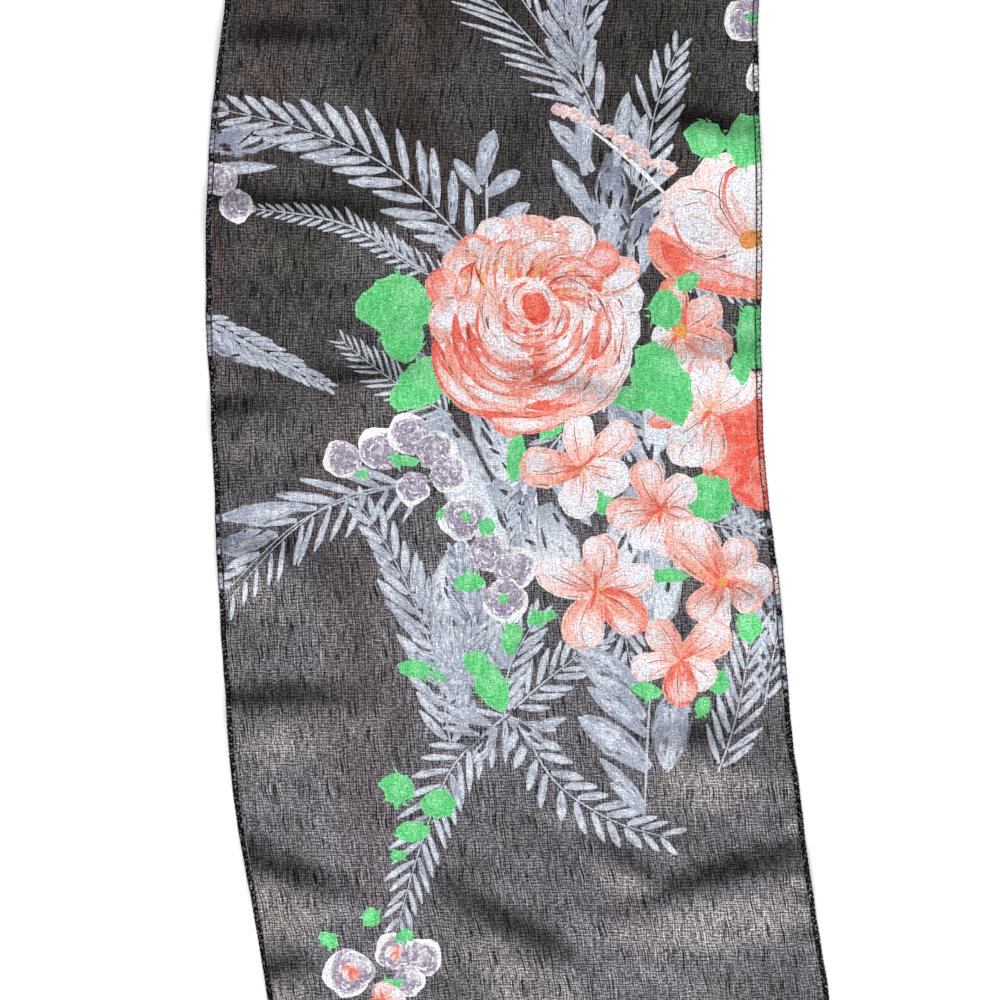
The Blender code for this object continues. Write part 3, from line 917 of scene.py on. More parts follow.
def paintCloth():
    paintSpray()
    first = len(marks)
    for shift in repeats:
        for mark in marks[:first]:
            if mark["level"] > 1:
                continue
            copy = dict(mark)
            if mark["level"] and len(mark["outline"]) > 9:
                copy["outline"] = mark["outline"][::2]
            for part in ("outline", "path", "inner"):
                if part in mark:
                    copy[part] = carried(copy[part], shift)
            if "centre" in mark:
                copy["centre"] = copy["inner"][0]
                copy["radii"] = np.roll(mark["radii"][::-1], 1)
            marks.append(copy)
    half = 0.5 * cloth["length"] - cloth["hemWidth"]
    for index, mark in enumerate(marks):
        outline = mark["outline"]
        low, high = panelEdges(outline[:, 1])
        inside = (outline[:, 0] > low) & (outline[:, 0] < high) & (abs(outline[:, 1]) < half)
        mark["atRim"] = not inside.all()
        mark["low"] = outline.min(axis=0)
        mark["high"] = outline.max(axis=0)
        mark["seed"] = (index * 0.618) % 1.0 * 40.0
    print("print:", len(marks), "brush marks,", first, "of them in the middle spray")


paintCloth()


def leftTurning(outline):
    # the same closed outline, run anticlockwise
    after = np.roll(outline, -1, axis=0)
    area = (outline[:, 0] * after[:, 1] - after[:, 0] * outline[:, 1]).sum()
    return outline if area > 0 else outline[::-1]


def panelOutline(step):
    # the panel's rim, a little inside its hems
    along = np.linspace(-panelHalf, panelHalf, int(2 * panelHalf / step) + 1)
    left, right = panelEdges(along)
    left = np.stack([left, along], axis=1)
    right = np.stack([right, along], axis=1)
    share = np.linspace(0, 1, int((right[0, 0] - left[0, 0]) / step) + 1)[1:-1, None]
    top = left[-1] + (right[-1] - left[-1]) * share
    bottom = right[0] + (left[0] - right[0]) * share
    return leftTurning(np.concatenate([left, top, right[::-1], bottom]))


def formPoints(closeStep, wideStep, columnStep):
    # the cloth's own points, that carry its folds
    rows = [-panelHalf + 2.0]
    while rows[-1] < panelHalf - wideStep:
        close = abs(rows[-1]) < cloth["closeReach"]
        rows.append(rows[-1] + (closeStep if close else wideStep))
    found = []
    for index, y in enumerate(rows):
        low, high = [float(edge[0]) for edge in panelEdges(np.array([y]))]
        count = int((high - low) / columnStep)
        shares = (np.arange(1, count) + (0.25 if index % 2 else -0.25)) / count
        found.append(np.stack([low + (high - low) * shares, np.full(count - 1, y)], axis=1))
    return np.concatenate(found)


def splitByMarks(rim, chosen, loose, coarse=False):
    # cuts the flat panel along every chosen mark; each triangle gets its topmost mark or -1;
    # coarse leaves out every other point of the marks that stay clear of the rim
    points = [rim]
    faces = [list(range(len(rim)))]
    count = len(rim)
    for mark in chosen:
        outline = leftTurning(mark["outline"])
        if coarse and not mark["atRim"] and len(outline) > 7:
            outline = outline[::2]
        faces.append(list(range(count, count + len(outline))))
        points.append(outline)
        count += len(outline)
    points += [mark["inner"] for mark in chosen] + [loose]
    flat = np.concatenate(points)
    found = delaunay_2d_cdt([tuple(p) for p in flat], [], faces, 0, cloth["weld"], True)
    places = np.array([tuple(v) for v in found[0]])
    kept = [(triangle, max(inside) - 1) for triangle, inside in zip(found[2], found[5]) if 0 in inside]
    triangles = np.array([triangle for triangle, _ in kept])
    tops = np.array([top for _, top in kept])
    used = np.unique(triangles)
    renamed = np.full(len(places), -1)
    renamed[used] = np.arange(len(used))
    return places[used], renamed[triangles], tops


def placeOn(mark, points):
    # along, across (-1 to 1), depth (0 inside, 1 at its outline) and share of some points
    if "centre" in mark:
        away = points - mark["centre"]
        radii = mark["radii"]
        spots = np.arctan2(away[:, 1], away[:, 0]) % (2 * np.pi) / (2 * np.pi) * len(radii)
        low = spots.astype(int) % len(radii)
        reach = radii[low] + (radii[(low + 1) % len(radii)] - radii[low]) * (spots - np.floor(spots))
        depth = np.clip(np.linalg.norm(away, axis=1) / reach, 0, 1)
        middle = radii.mean()
        share = 0.5 + 0.5 * away[:, 1] / middle
        return away[:, 1], np.clip(away[:, 0] / middle, -1, 1), depth, share
    path, halves = mark["path"], mark["halves"]
    run = path[1:] - path[:-1]
    lengths = np.maximum(np.linalg.norm(run, axis=1), 1e-9)
    starts = np.concatenate([[0], np.cumsum(lengths)])
    away = points[:, None, :] - path[None, :-1, :]
    share = np.clip((away * run).sum(axis=2) / lengths**2, 0, 1)
    distance = np.linalg.norm(away - share[:, :, None] * run, axis=2)
    nearest = distance.argmin(axis=1)
    rows = np.arange(len(points))
    along = starts[nearest] + share[rows, nearest] * lengths[nearest]
    turned = run[nearest, 0] * away[rows, nearest, 1] - run[nearest, 1] * away[rows, nearest, 0]
    width = halves[nearest] + (halves[nearest + 1] - halves[nearest]) * share[rows, nearest]
    across = np.clip(distance[rows, nearest] / np.maximum(width, 0.05), 0, 1)
    depth = across.copy()
    if len(mark["inner"]):
        # the blunt or pointed ends count as outline too
        depth = np.maximum(depth, along > 0.995 * starts[-1])
    return along, across * np.sign(turned), depth, along / starts[-1]


def inkFor(chosen, corners, tops):
    # every corner's dyes and brush coordinates, from the mark that lies on top of it
    ink = np.zeros((len(corners), 4))
    accent = np.zeros((len(corners), 4))
    look = np.zeros((len(corners), 3))
    habit = np.zeros((len(corners), 3))
    brush = np.zeros((len(corners), 3))
    order = np.argsort(tops, kind="stable")
    ends = np.searchsorted(tops[order], np.arange(len(chosen) + 1))
    for index, mark in enumerate(chosen):
        own = order[ends[index]:ends[index + 1]]
        if not len(own):
            continue
        spots = (own[:, None] * 3 + np.arange(3)).ravel()
        along, across, depth, share = placeOn(mark, corners[spots])
        paint = paints[mark["paint"]]
        root, tip = np.array(dyes[paint["root"]]), np.array(dyes[paint["tip"]])
        ink[spots, :3] = root + (tip - root) * np.clip(1.5 * share, 0, 1)[:, None]
        ink[spots, 3] = 0.0 if mark["paint"] == "gap" else 1.0
        accent[spots] = list(dyes[paint["light"]]) + [paint["amount"]]
        look[spots] = np.stack([share, np.full_like(share, mark["seed"]),
                                np.full_like(share, mark["off"])], axis=1)
        habit[spots] = paint["lines"], paint["speckle"], paint["bare"]
        brush[spots] = np.stack([along, across, depth], axis=1)
    return {"ink": ink, "accent": accent, "look": look, "habit": habit, "brush": brush}


def wallBetween(points, top, bottom):
    # a strip of triangles that joins the rims of both sides; whichever is behind steps on
    shares = []
    for loop in (top, bottom):
        ring = points[np.append(loop, loop[0]), :2]
        reach = np.cumsum(np.linalg.norm(np.diff(ring, axis=0), axis=1))
        shares.append(np.append(reach / reach[-1], 2.0))
    made = []
    i = j = 0
    while i < len(top) or j < len(bottom):
        here, below = top[i % len(top)], bottom[j % len(bottom)]
        if shares[0][i] <= shares[1][j] + 1e-7:
            i += 1
            made.append((top[i % len(top)], here, below))
        else:
            j += 1
            made.append((here, below, bottom[j % len(bottom)]))
    return np.array(made)


def rimLoop(flat, triangles):
    # the rim's points in order, from the lower left corner round
    runs = np.concatenate([triangles[:, [0, 1]], triangles[:, [1, 2]], triangles[:, [2, 0]]])
    pairs = np.sort(runs, axis=1)
    keys = pairs[:, 0] * len(flat) + pairs[:, 1]
    _, firstAt, uses = np.unique(keys, return_index=True, return_counts=True)
    follow = dict(runs[firstAt[uses == 1]].tolist())
    corner = int(np.argmin(flat[:, 0] + flat[:, 1]))
    loop = [corner]
    while follow[loop[-1]] != corner:
        loop.append(follow[loop[-1]])
    return np.array(loop)


def store(mesh, name, values, domain="POINT"):
    # numbers, vectors or colours kept in the mesh for its finish
    kinds = {1: ("FLOAT", "value"), 3: ("FLOAT_VECTOR", "vector"), 4: ("FLOAT_COLOR", "color")}
    kind, field = kinds[values.shape[1] if values.ndim > 1 else 1]
    layer = mesh.attributes.new(name, kind, domain)
    layer.data.foreach_set(field, values.astype(np.float32).ravel())


def linked(name, data):
    made = bpy.data.objects.new(name, data)
    bpy.context.scene.collection.objects.link(made)
    return made


def clothPanel():
    rim = panelOutline(cloth["rimStep"])
    over = splitByMarks(rim, marks, formPoints(*cloth["overSteps"]))
    plain = [mark for mark in marks
             if mark["atRim"] or not mark["level"] and mark["paint"] not in ("stem", "gap")]
    under = splitByMarks(rim, plain, formPoints(*cloth["underSteps"]), True)
    print("cloth:", len(over[1]), "triangles above and", len(under[1]), "below")
    inks = []
    faces = []
    points = []
    loops = []
    count = 0
    for side, (flat, triangles, tops) in enumerate((over, under)):
        z = lift(flat[:, 0], flat[:, 1]) + (0 if side else cloth["thickness"])
        points.append(np.column_stack([flat, z]))
        loops.append(rimLoop(flat, triangles) + count)
        if side:
            triangles = triangles[:, ::-1]
        faces.append(triangles + count)
        inks.append(inkFor(plain if side else marks, flat[triangles].reshape(-1, 2), tops))
        count += len(flat)
    points = np.concatenate(points)
    faces.append(wallBetween(points, *loops))
    print("cloth: rims of", len(loops[0]), "and", len(loops[1]), "points")
    wallCorners = 3 * len(faces[2])
    faces = np.concatenate(faces)
    mesh = bpy.data.meshes.new("cloth")
    mesh.from_pydata((points * mm).tolist(), [], faces.tolist())
    for name, above in inks[0].items():
        bare = np.zeros((wallCorners, above.shape[1]))
        store(mesh, name, np.concatenate([above, inks[1][name], bare]), "CORNER")
    x, y = points[:, 0], points[:, 1]
    cut = np.stack([x - middleX(y), y], axis=1)[faces.ravel()] * mm
    layer = mesh.uv_layers.new(name="Cut")
    layer.data.foreach_set("uv", cut.astype(np.float32).ravel())
    # the slope along Y, which the finish turns into painted fold shade and painted light
    step = cloth["slopeStep"]
    store(mesh, "slope", (lift(x, y + step) - lift(x, y - step)) / (2 * step))
    mesh.shade_smooth()
    mesh.set_sharp_from_angle(angle=math.radians(60))
    made = linked("cloth", mesh)
    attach(made, "root")
    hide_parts("cloth_panel")
    return made


panel = clothPanel()


hem = {
    "width": 3.0,
    "height": 1.9,
    "pitch": 2.6,           # from one overlock stitch to the next
    "pinch": 0.16,          # how much each stitch draws the roll in
    "thread": 0.17,         # half the thread's thickness
    "wander": 0.18,         # how far the roll strays to the sides
    "fade": 8.0,            # and where, near its ends, it doesn't
    "sides": 8,
    "windSteps": 7,         # points of the thread to a turn
    "windSides": 4,
    "printReach": 2.6,      # how far in from the roll it takes its dye
}


def printAt(points):
    # the topmost dye over some points, with 0 in its last column where the ground shows
    found = np.zeros((len(points), 4))
    for mark in marks:
        near = np.nonzero((points >= mark["low"]).all(axis=1) & (points <= mark["high"]).all(axis=1))[0]
        if not len(near):
            continue
        corner = mark["outline"]
        after = np.roll(corner, -1, axis=0)
        x, y = points[near, 0][:, None], points[near, 1][:, None]
        crosses = (corner[:, 1] > y) != (after[:, 1] > y)
        rise = np.where(after[:, 1] == corner[:, 1], 1e-9, after[:, 1] - corner[:, 1])
        meets = corner[:, 0] + (y - corner[:, 1]) / rise * (after[:, 0] - corner[:, 0])
        inside = near[(crosses & (x < meets)).sum(axis=1) % 2 == 1]
        found[inside, :3] = dyes[paints[mark["paint"]]["tip"]]
        found[inside, 3] = 0.0 if mark["paint"] == "gap" else 1.0
    return found


def ringFaces(rings, sides, start):
    # quads between rings of points that follow each other, and a cap at both ends
    first = start + np.arange(rings - 1)[:, None] * sides + np.arange(sides)
    after = start + np.arange(rings - 1)[:, None] * sides + (np.arange(sides) + 1) % sides
    quads = np.stack([first, after, after + sides, first + sides], axis=2).reshape(-1, 4)
    last = start + (rings - 1) * sides
    return quads.tolist() + [list(range(start, start + sides))[::-1], list(range(last, last + sides))]


def rollPoints(centres, at, sidewise):
    # the soft roll, drawn in by every other stitch
    drawn = 1 - hem["pinch"] * (np.arange(len(at)) % 2) - 0.05 * np.sin(at / 3.7)
    corner = math.cos(math.pi / hem["sides"])
    outs = 0.5 * (hem["width"] - 2 * hem["thread"]) * drawn / corner
    ups = 0.5 * (hem["height"] - 2 * hem["thread"]) * drawn / corner
    turns = 2 * np.pi * (np.arange(hem["sides"]) + 0.5) / hem["sides"]
    points = centres[:, None, :] + (outs[:, None] * np.cos(turns))[:, :, None] * sidewise
    points[:, :, 2] += ups[:, None] * np.sin(turns)
    return points.reshape(-1, 3)


def windPoints(centres, at, sidewise):
    # the overlock thread, that winds round the roll, one turn a stitch
    turns = np.arange(int(at[-1] / hem["pitch"]) * hem["windSteps"]) / hem["windSteps"]
    spot = turns * hem["pitch"]
    winding = np.stack([np.interp(spot, at, centres[:, k]) for k in range(3)], axis=1)
    angle = 2 * np.pi * turns
    winding = winding + ((0.5 * hem["width"] - hem["thread"]) * np.cos(angle))[:, None] * sidewise
    winding[:, 2] += (0.5 * hem["height"] - hem["thread"]) * np.sin(angle)
    upward = np.array([0, 0, 1.0])
    outward = np.cos(angle)[:, None] * sidewise + np.sin(angle)[:, None] * upward
    along = np.array([-sidewise[1], sidewise[0], 0.0])
    ringTurns = 2 * np.pi * np.arange(hem["windSides"]) / hem["windSides"]
    cross = (np.cos(ringTurns)[None, :, None] * outward[:, None, :]
             + np.sin(ringTurns)[None, :, None] * along) * (hem["thread"] * 1.15)
    return (winding[:, None, :] + cross).reshape(-1, 3)


def rolledHem(name, node, plan, sidewise, inward):
    # plan gives the roll's middle line; sidewise is its level crosswise direction
    sidewise = np.array(sidewise)
    steps = np.linalg.norm(np.diff(plan, axis=0), axis=1)
    reach = np.concatenate([[0], np.cumsum(steps)])
    at = np.linspace(0, reach[-1], int(reach[-1] / (0.5 * hem["pitch"])) + 1)
    flat = np.stack([np.interp(at, reach, plan[:, 0]), np.interp(at, reach, plan[:, 1])], axis=1)
    stray = hem["wander"] * (np.sin(at / 7.3) + 0.6 * np.sin(at / 2.9 + 1.0)) / 1.6
    stray = stray * np.clip(at / hem["fade"], 0, 1) * np.clip((reach[-1] - at) / hem["fade"], 0, 1)
    flat = flat + stray[:, None] * sidewise[:2]
    centres = np.column_stack([flat, lift(flat[:, 0], flat[:, 1]) + 0.5 * hem["height"]])
    roll = rollPoints(centres, at, sidewise)
    wind = windPoints(centres, at, sidewise)
    rollFaces = ringFaces(len(at), hem["sides"], 0)
    windFaces = ringFaces(len(wind) // hem["windSides"], hem["windSides"], len(roll))
    mesh = bpy.data.meshes.new(name)
    points = np.concatenate([roll, wind])
    points[:, 2] = np.maximum(points[:, 2], 0.02)
    mesh.from_pydata((points * mm).tolist(), [], rollFaces + windFaces)
    inks = np.repeat(printAt(flat + inward * hem["printReach"] * sidewise[:2]), hem["sides"], axis=0)
    store(mesh, "ink", np.concatenate([inks, np.zeros((len(wind), 4))]))
    aside = abs(np.cos(2 * np.pi * (np.arange(hem["sides"]) + 0.5) / hem["sides"]))
    store(mesh, "side", np.concatenate([np.tile(aside, len(flat)), np.ones(len(wind))]))
    mesh.shade_smooth()
    made = linked(name, mesh)
    slots = np.zeros(len(mesh.polygons), np.int32)
    slots[len(rollFaces):] = 1
    mesh.materials.append(None)
    mesh.materials.append(None)
    mesh.polygons.foreach_set("material_index", slots)
    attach(made, "root")
    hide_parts(node)
    return made


def allHems():
    # the side hems run from far to near, so that the faces of every roll look outward
    half = 0.5 * cloth["length"]
    along = np.linspace(half, -half, 401)
    inset = 0.5 * hem["width"]
    left = np.stack([edgeX(along, "left") + inset, along], axis=1)
    right = np.stack([edgeX(along, "right") - inset, along], axis=1)
    made = [rolledHem("hemLeft", "hem_left", left, (1.0, 0.0, 0.0), 1.0),
            rolledHem("hemRight", "hem_right", right, (1.0, 0.0, 0.0), -1.0)]
    for name, node, side in (("hemNear", "hem_end_near", -1.0), ("hemFar", "hem_end_far", 1.0)):
        y = side * (half - inset)
        ends = [float(edgeX(np.array([y]), edge)[0]) for edge in ("left", "right")]
        across = np.linspace(ends[0] + hem["width"], ends[1] - hem["width"], 81)
        plan = np.stack([across, np.full(81, y)], axis=1)
        made.append(rolledHem(name, node, plan, (0.0, 1.0, 0.0), -side))
    print("hems:", sum(len(o.data.polygons) for o in made), "faces")
    return made


hems = allHems()


class Wire:
    # one shader socket; sums and products of wires add their own Math nodes

    def __init__(self, tree, socket=None):
        self.tree = tree
        self.socket = socket

    def add(self, kind, settings=None, inputs=None, out=0):
        node = self.tree.nodes.new(kind)
        for name, value in (settings or {}).items():
            setattr(node, name, value)
        for name, value in (inputs or {}).items():
            if isinstance(value, Wire):
                self.tree.links.new(value.socket, node.inputs[name])
            else:
                node.inputs[name].default_value = value
        return Wire(self.tree, node.outputs[out])

    def math(self, operation, *values):
        return self.add("ShaderNodeMath", {"operation": operation}, dict(enumerate(values)))

    def atLeast(self, value):
        return self.math("MAXIMUM", self, value)

    def atMost(self, value):
        return self.math("MINIMUM", self, value)

    def wave(self, pitch, phase=None):
        turn = self * (2 * math.pi / pitch)
        return self.math("SINE", turn + phase if phase else turn)

    def mix(self, factor, first, second, way="MIX"):
        first, second = [v if isinstance(v, Wire) else tuple(v) + (1.0,) for v in (first, second)]
        return self.add("ShaderNodeMix", {"data_type": "RGBA", "blend_type": way},
                        {0: factor, 6: first, 7: second}, out=2)

    def times(self, factor):
        return self.add("ShaderNodeVectorMath", {"operation": "SCALE"}, {0: self, "Scale": factor})

    def smooth(self, low, high):
        return self.add("ShaderNodeMapRange", {"interpolation_type": "SMOOTHSTEP"},
                        {"Value": self, "From Min": low, "From Max": high})

    def noise(self, x, y, z=0.0, detail=1.0, roughness=0.5):
        place = self.add("ShaderNodeCombineXYZ", None, {0: x, 1: y, 2: z})
        return self.add("ShaderNodeTexNoise", None, {"Vector": place, "Scale": 1.0, "Detail": detail,
                                                     "Roughness": roughness})

    def bodyNoise(self, scale):
        # noise laid out in the object's own space
        place = self.add("ShaderNodeTexCoord").also("Object")
        return self.add("ShaderNodeTexNoise", None, {"Vector": place, "Scale": scale, "Detail": 2.0})

    def attribute(self, name):
        return self.add("ShaderNodeAttribute", {"attribute_name": name})

    def parts(self):
        return [self.add("ShaderNodeSeparateXYZ", None, {0: self}, out=k) for k in range(3)]

    def also(self, name):
        # another output of the same node
        return Wire(self.tree, self.socket.node.outputs[name])

    def into(self, shader, name):
        self.tree.links.new(self.socket, shader.inputs[name])

    def dents(self, shader, strength, distance):
        # this wire as a relief on the shader's surface
        relief = {"Strength": strength, "Distance": distance, "Height": self}
        self.add("ShaderNodeBump", None, relief).into(shader, "Normal")

    def __add__(self, other):
        return self.math("ADD", self, other)

    def __radd__(self, other):
        return self.math("ADD", other, self)

    def __sub__(self, other):
        return self.math("SUBTRACT", self, other)

    def __rsub__(self, other):
        return self.math("SUBTRACT", other, self)

    def __mul__(self, other):
        return self.math("MULTIPLY", self, other)

    def __abs__(self):
        return self.math("ABSOLUTE", self)


def newFinish(name, settings):
    # a material, a wire to build its nodes with and its shader with some settings
    material = bpy.data.materials.new(name)
    material.use_nodes = True
    tree = material.node_tree
    shader = tree.nodes["Principled BSDF"]
    for socket, value in settings.items():
        shader.inputs[socket].default_value = value
    return material, Wire(tree), shader


def weighed(parts, shares):
    # the sum of some wires, each times its share
    names = list(shares)
    total = parts[names[0]] * shares[names[0]]
    for name in names[1:]:
        total = total + parts[name] * shares[name]
    return total


chiffon = {
    # pitches of the warp, the weft and the slight bunching of both, in millimetres
    "threadPitch": 1.06,
    "weftPitch": 0.98,
    "ribPitch": 1.52,
    "cordPitch": 1.45,
    # what the grain is made of on the bare ground, under the dye and in the gaps of the dye
    "bareGrain": {"fine": 4.6, "dash": 3.4, "warpRun": 3.0, "rib": 0.36, "cord": 0.32, "weave": 0.60,
                  "crinkle": -1.8},
    "dyedGrain": {"fine": 2.6, "dash": 1.5, "warpRun": 1.1, "weave": 0.13},
    "gapGrain": {"fine": 2.4, "dash": 1.6, "weave": -0.16},
    "contrast": 1.12,                       # of the bare ground's grain
    # the ground's darkest and palest tones; how it swings between them along the cloth is painted light
    "warm": (0.0272, 0.0240, 0.0214),       # the ground at its darkest, brownish
    "cool": (0.112, 0.107, 0.119),          # and where it is palest, a violet grey
    "russet": (1.14, 0.95, 0.93),           # casts of some stretches along the cloth
    "green": (0.95, 1.02, 0.92),
    # where the painted light of that swing falls
    "paintedLightSwingLength": 900.0,                   # from one pale stretch to the next
    "paintedLightSwingStart": 30.0,
    # painted light and painted shade on the folds' slopes, from the slope kept in the mesh
    "paintedLitSlopeCast": (1.12, 1.06, 0.94),             # the cream cast of slopes that face the light
    "paintedFoldStrength": 2.3,                       # how strongly slopes darken or lighten
    "paintedFoldShadeLimit": -1.5,                       # the most that a slope may darken and lighten
    "paintedFoldLightLimit": 0.42,
    "print": 0.785,                         # how bright the dyes come out
    "paintedFoldShadeOnPrint": 0.33,                      # how much of the folds' shade the dyes take
    "highlight": 0.62,                      # how far each mark's pale patch reaches
    "rim": 0.75,                            # strength of the marks' pale rims,
    "pen": 0.75,                            # of their drawn lines
    "gaps": 0.15,                           # and of the dark gaps between their threads
}

# noises over the cloth: cells a millimetre across and along, seed, detail, roughness
noiseColumns = ("across", "along", "seed", "detail", "roughness")
noises = {
    "stray": (0.12, 0.12, 3.0, 0.0, 0.5),
    "fine": (1.2, 1.2, 1.0, 1.0, 0.5),
    "dash": (0.42, 1.4, 5.0, 1.0, 0.5),
    "warpRun": (1.15, 0.12, 7.0, 1.0, 0.5),
    "crinkle": (1.35, 0.08, 11.0, 1.0, 0.5),
    "mottle": (0.017, 0.012, 2.0, 2.0, 0.5),
    "patch": (0.05, 0.022, 6.0, 2.0, 0.5),
    "stripe": (0.022, 0.007, 4.0, 2.0, 0.5),
    "fleck": (0.75, 0.75, 9.0, 2.0, 0.7),
}


def chiffonFinish():
    material, w, shader = newFinish("printedChiffon", {
        "Roughness": 0.82,
        "Sheen Weight": 0.03,
        "Sheen Roughness": 0.5,
        "Specular IOR Level": 0.06,
    })
    u, v, _ = w.add("ShaderNodeUVMap", {"uv_map": "Cut"}).parts()
    u = u * 1000.0
    v = v * 1000.0

    def laid(name, shift=None):
        row = dict(zip(noiseColumns, noises[name]))
        x = u * row["across"]
        x = x + shift if shift else x
        return w.noise(x, v * row["along"], row["seed"], row["detail"], row["roughness"])

    # the crepe's grain: fine crinkle, short weft dashes, long warp crinkles and the weave itself
    stray = laid("stray") - 0.5
    fine = laid("fine") - 0.5
    dash = laid("dash") - 0.5
    warpRun = laid("warpRun", stray * 2.0) - 0.5
    crinkle = laid("crinkle", stray * 3.0).smooth(0.42, 0.32)
    warp = (u + stray * 1.6).wave(chiffon["threadPitch"])
    weft = (v + stray * 1.6).wave(chiffon["weftPitch"])
    weave = warp * 0.6 + weft * 0.7 + warp * weft * 0.4
    rib = v.wave(chiffon["ribPitch"], stray * 9.0)
    cord = w.math("SINE", u * (2 * math.pi / chiffon["cordPitch"]) + stray * 9.0 + dash * 4.0)
    parts = {"fine": fine, "dash": dash, "warpRun": warpRun, "rib": rib, "cord": cord, "weave": weave,
             "crinkle": crinkle}
    crepe = weighed(parts, chiffon["bareGrain"])
    crepe = crepe.atMost(crepe * 0.42 + 0.30)
    # the ground colour, warmer and darker in some stretches, paler in others; the swing in brightness is
    # painted light, a gradient that stands in for the window's falloff along the cloth
    toneAndPaintedLightSwing = 0.5 - (v - chiffon["paintedLightSwingStart"]).wave(chiffon["paintedLightSwingLength"]) * 0.5
    ground = w.mix(toneAndPaintedLightSwing * 0.75 + laid("mottle").smooth(0.38, 0.64) * 0.25, chiffon["warm"],
                   chiffon["cool"])
    stripe = laid("stripe")
    tint = 0.85 - toneAndPaintedLightSwing * 0.6
    ground = w.mix(stripe.smooth(0.50, 0.62) * tint, ground, chiffon["russet"], "MULTIPLY")
    ground = w.mix(stripe.smooth(0.48, 0.38) * tint, ground, chiffon["green"], "MULTIPLY")
    # painted fold shade and painted light: slopes that turn from the window are darkened, slopes that
    # face it are lightened and given a cream cast, more so in the pale stretches
    slope = w.attribute("slope").also("Fac")
    ground = w.mix(slope.smooth(0.02, 0.22) * (toneAndPaintedLightSwing * 0.7 + 0.15), ground, chiffon["paintedLitSlopeCast"], "MULTIPLY")
    paintedSlopeShade = ((slope + 0.03).atMost(0.0) * chiffon["paintedFoldStrength"]).atLeast(chiffon["paintedFoldShadeLimit"])
    paintedSlopeLight = slope.atLeast(0.0) * (toneAndPaintedLightSwing * 0.9 + 0.1) * chiffon["paintedFoldStrength"]
    fold = paintedSlopeShade + paintedSlopeLight.atMost(chiffon["paintedFoldLightLimit"])
    patch = laid("patch") - 0.5
    ground = ground.times(w.math("EXPONENT", crepe * chiffon["contrast"] + fold + patch * 1.0))
    # the print: each mark's own blotches and streaks, highlight, rim, speckles and drawn lines
    ink = w.attribute("ink")
    accent = w.attribute("accent")
    amount = accent.also("Alpha")
    share, seed, off = w.attribute("look").also("Vector").parts()
    lines, speckle, bare = w.attribute("habit").also("Vector").parts()
    along, across, depth = w.attribute("brush").also("Vector").parts()
    blotch = w.noise(along * 0.20, across * 1.2, seed, 1.0) - 0.5
    streak = w.noise(along * 0.13, across * 4.2, seed + 50.0, 2.0, 0.6) - 0.5
    fleck = laid("fleck") - 0.5
    aside = (across - off) * 1.55
    middle = (share - 0.66) * 2.3
    lit = chiffon["highlight"] - (aside * aside + middle * middle) * 0.62 + blotch * 1.9 + streak * 1.6
    colour = w.mix(lit.smooth(0.0, 0.62) * amount, ink, accent)
    rim = (depth + streak * 0.20 + bare * 0.16).smooth(0.80, 0.95) * amount * (1.0 - lines * 0.6)
    colour = w.mix(rim * chiffon["rim"], colour, accent)
    colour = w.mix(fleck.smooth(0.05, 0.16) * speckle * 0.8, colour, accent)
    deep = (streak * -1.0).smooth(0.06, 0.24) * (0.25 + lines * 0.45)
    deep = deep + fleck.smooth(-0.06, -0.18) * speckle * 0.5
    colour = w.mix(deep, colour, w.mix(0.6, ink, ink, "MULTIPLY"))
    drawn = 1.0 - abs(depth - 0.84 + streak * 0.25).smooth(0.02, 0.07)
    scored = 1.0 - abs(streak - 0.055).smooth(0.004, 0.018)
    pen = (drawn * blotch.smooth(-0.06, 0.08)).atLeast(scored * 0.55) * lines
    colour = w.mix(pen * chiffon["pen"], colour, ink.times(0.28))
    # ground that shows along the edges of dabs and in slits between bristles
    slit = w.noise(along * 0.17, across * 2.3, seed + 90.0, 1.0) - 0.5
    edge = (abs(across) + slit * 0.7 + fine * 0.3).smooth(0.80, 0.94)
    unprinted = edge.atLeast(slit.smooth(-0.13, -0.19)) * bare
    # the same weave under the dye: a light grain, and small dark gaps between its threads
    under = weighed(parts, chiffon["dyedGrain"]) * 0.75
    # the dyes also take a share of the painted fold shade and painted light
    shade = under + fold.atLeast(-0.8) * chiffon["paintedFoldShadeOnPrint"] + math.log(chiffon["print"])
    colour = colour.times(w.math("EXPONENT", shade))
    holes = weighed(parts, chiffon["gapGrain"]).smooth(0.30, 0.85)
    colour = w.mix(holes * chiffon["gaps"], colour, ground.times(1.8))
    w.mix(ink.also("Alpha") * (1.0 - unprinted), ground, colour).into(shader, "Base Color")
    (fine * 1.6).dents(shader, 0.25, 0.0003)
    return material


# the hems' blacks and the pale specks on their fibres, which are painted glints
hemDyes = {
    "clothBlack": (0.003, 0.003, 0.004),
    "clothGlintSpeck": (0.26, 0.26, 0.28),
    "dyedBlack": (0.02, 0.02, 0.02),
    "threadBlack": (0.002, 0.002, 0.003),
    "threadGlintSpeck": (0.34, 0.34, 0.36),
}


def hemClothFinish():
    # the roll under the thread: black stitching along both its sides, print between them
    material, w, shader = newFinish("rolledEdge", {"Roughness": 0.8, "Specular IOR Level": 0.04})
    ink = w.attribute("ink")
    grain = w.bodyNoise(1100.0)
    seam = (w.attribute("side").also("Fac") + (grain - 0.5) * 0.9).smooth(0.50, 0.72)
    # pale specks on the bare roll: painted glints
    bare = w.mix(grain.smooth(0.58, 0.66), hemDyes["clothBlack"], hemDyes["clothGlintSpeck"])
    dyed = w.mix(grain.smooth(0.46, 0.36), ink.times(grain * 1.3 + 0.1), hemDyes["dyedBlack"])
    w.mix(ink.also("Alpha") * (1.0 - seam), bare, dyed).into(shader, "Base Color")
    grain.dents(shader, 0.4, 0.0002)
    return material


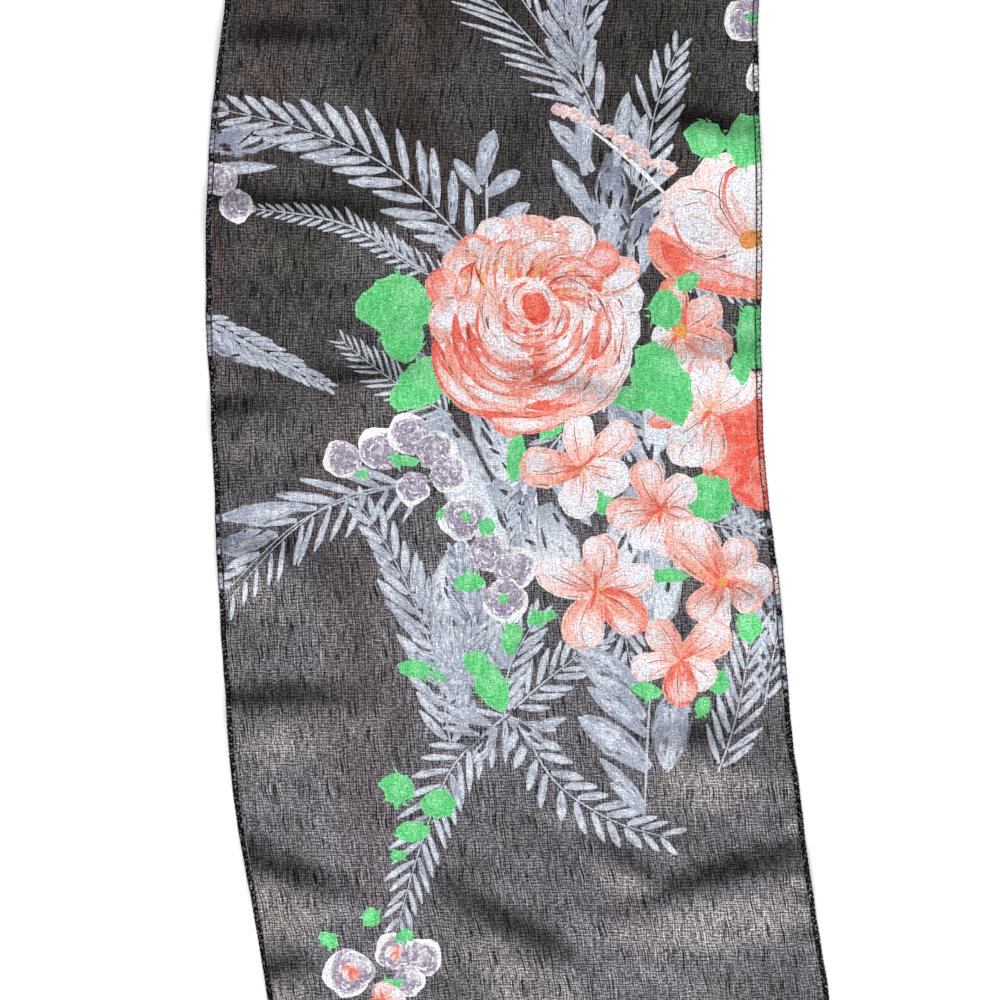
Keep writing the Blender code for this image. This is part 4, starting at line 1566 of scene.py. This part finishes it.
def threadFinish():
    material, w, shader = newFinish("overlockThread", {"Roughness": 0.7, "Specular IOR Level": 0.04})
    fuzzAndGlints = w.bodyNoise(1350.0)
    # pale specks on the thread: painted glints
    tone = w.mix(fuzzAndGlints.smooth(0.57, 0.63), hemDyes["threadBlack"], hemDyes["threadGlintSpeck"])
    tone.into(shader, "Base Color")
    fuzzAndGlints.dents(shader, 0.5, 0.0001)
    return material


panel.data.materials.append(chiffonFinish())
rollFinish = hemClothFinish()
twineFinish = threadFinish()
for piece in hems:
    piece.data.materials[0] = rollFinish
    piece.data.materials[1] = twineFinish
print("finishes: chiffon, rolled edge, overlock thread")


studio = {
    "viewMiddle": (-16.1, 0.0),     # what the camera looks straight down on
    "viewSide": 450.0,              # how much of the table its square picture spans
    "cameraHeight": 2200.0,
    "sensor": 36.0,
    "floorSide": 8000.0,
    "floorTones": ((0.88, 0.88, 0.88), (0.92, 0.92, 0.92)),
    # name, place and aim in metres, side in metres, watts
    "lights": (("window", (0.25, -2.1, 1.0), (0, -0.1, 0), 1.2, 75.0),
               ("overhead", (-0.4, 0.5, 2.4), (0, 0, 0), 2.2, 26.0)),
    "roomLight": 0.45,
}


def softLight(name, place, aim, side, watts):
    lamp = bpy.data.lights.new(name, "AREA")
    lamp.shape = "SQUARE"
    lamp.size = side
    lamp.energy = watts
    made = linked(name, lamp)
    made.location = place
    away = np.array(aim) - np.array(place)
    level = math.hypot(away[0], away[1])
    made.rotation_euler = (math.atan2(level, -away[2]), 0.0, math.atan2(-away[0], away[1]))


def layTable():
    bpy.ops.mesh.primitive_plane_add(size=studio["floorSide"] * mm, location=(0, 0, -0.0002))
    table = bpy.context.object
    table.name = "table"
    material, w, shader = newFinish("paleTable", {"Roughness": 0.9})
    w.mix(w.bodyNoise(3.0), *studio["floorTones"]).into(shader, "Base Color")
    table.data.materials.append(material)
    return table


def setStage():
    for row in studio["lights"]:
        softLight(*row)
    scene = bpy.context.scene
    world = bpy.data.worlds.new("room")
    world.use_nodes = True
    sky = world.node_tree.nodes["Background"]
    sky.inputs["Color"].default_value = (1.0, 1.0, 1.0, 1.0)
    sky.inputs["Strength"].default_value = studio["roomLight"]
    scene.world = world
    scene.view_settings.view_transform = "Standard"
    lens = bpy.data.cameras.new("overTheTable")
    lens.sensor_width = studio["sensor"]
    lens.lens = studio["sensor"] * studio["cameraHeight"] / studio["viewSide"]
    lens.clip_end = 50.0
    camera = linked("overTheTable", lens)
    camera.location = [length * mm for length in (*studio["viewMiddle"], studio["cameraHeight"])]
    scene.camera = camera


floor = layTable()
setStage()
print("stage: table, window, overhead light and camera")
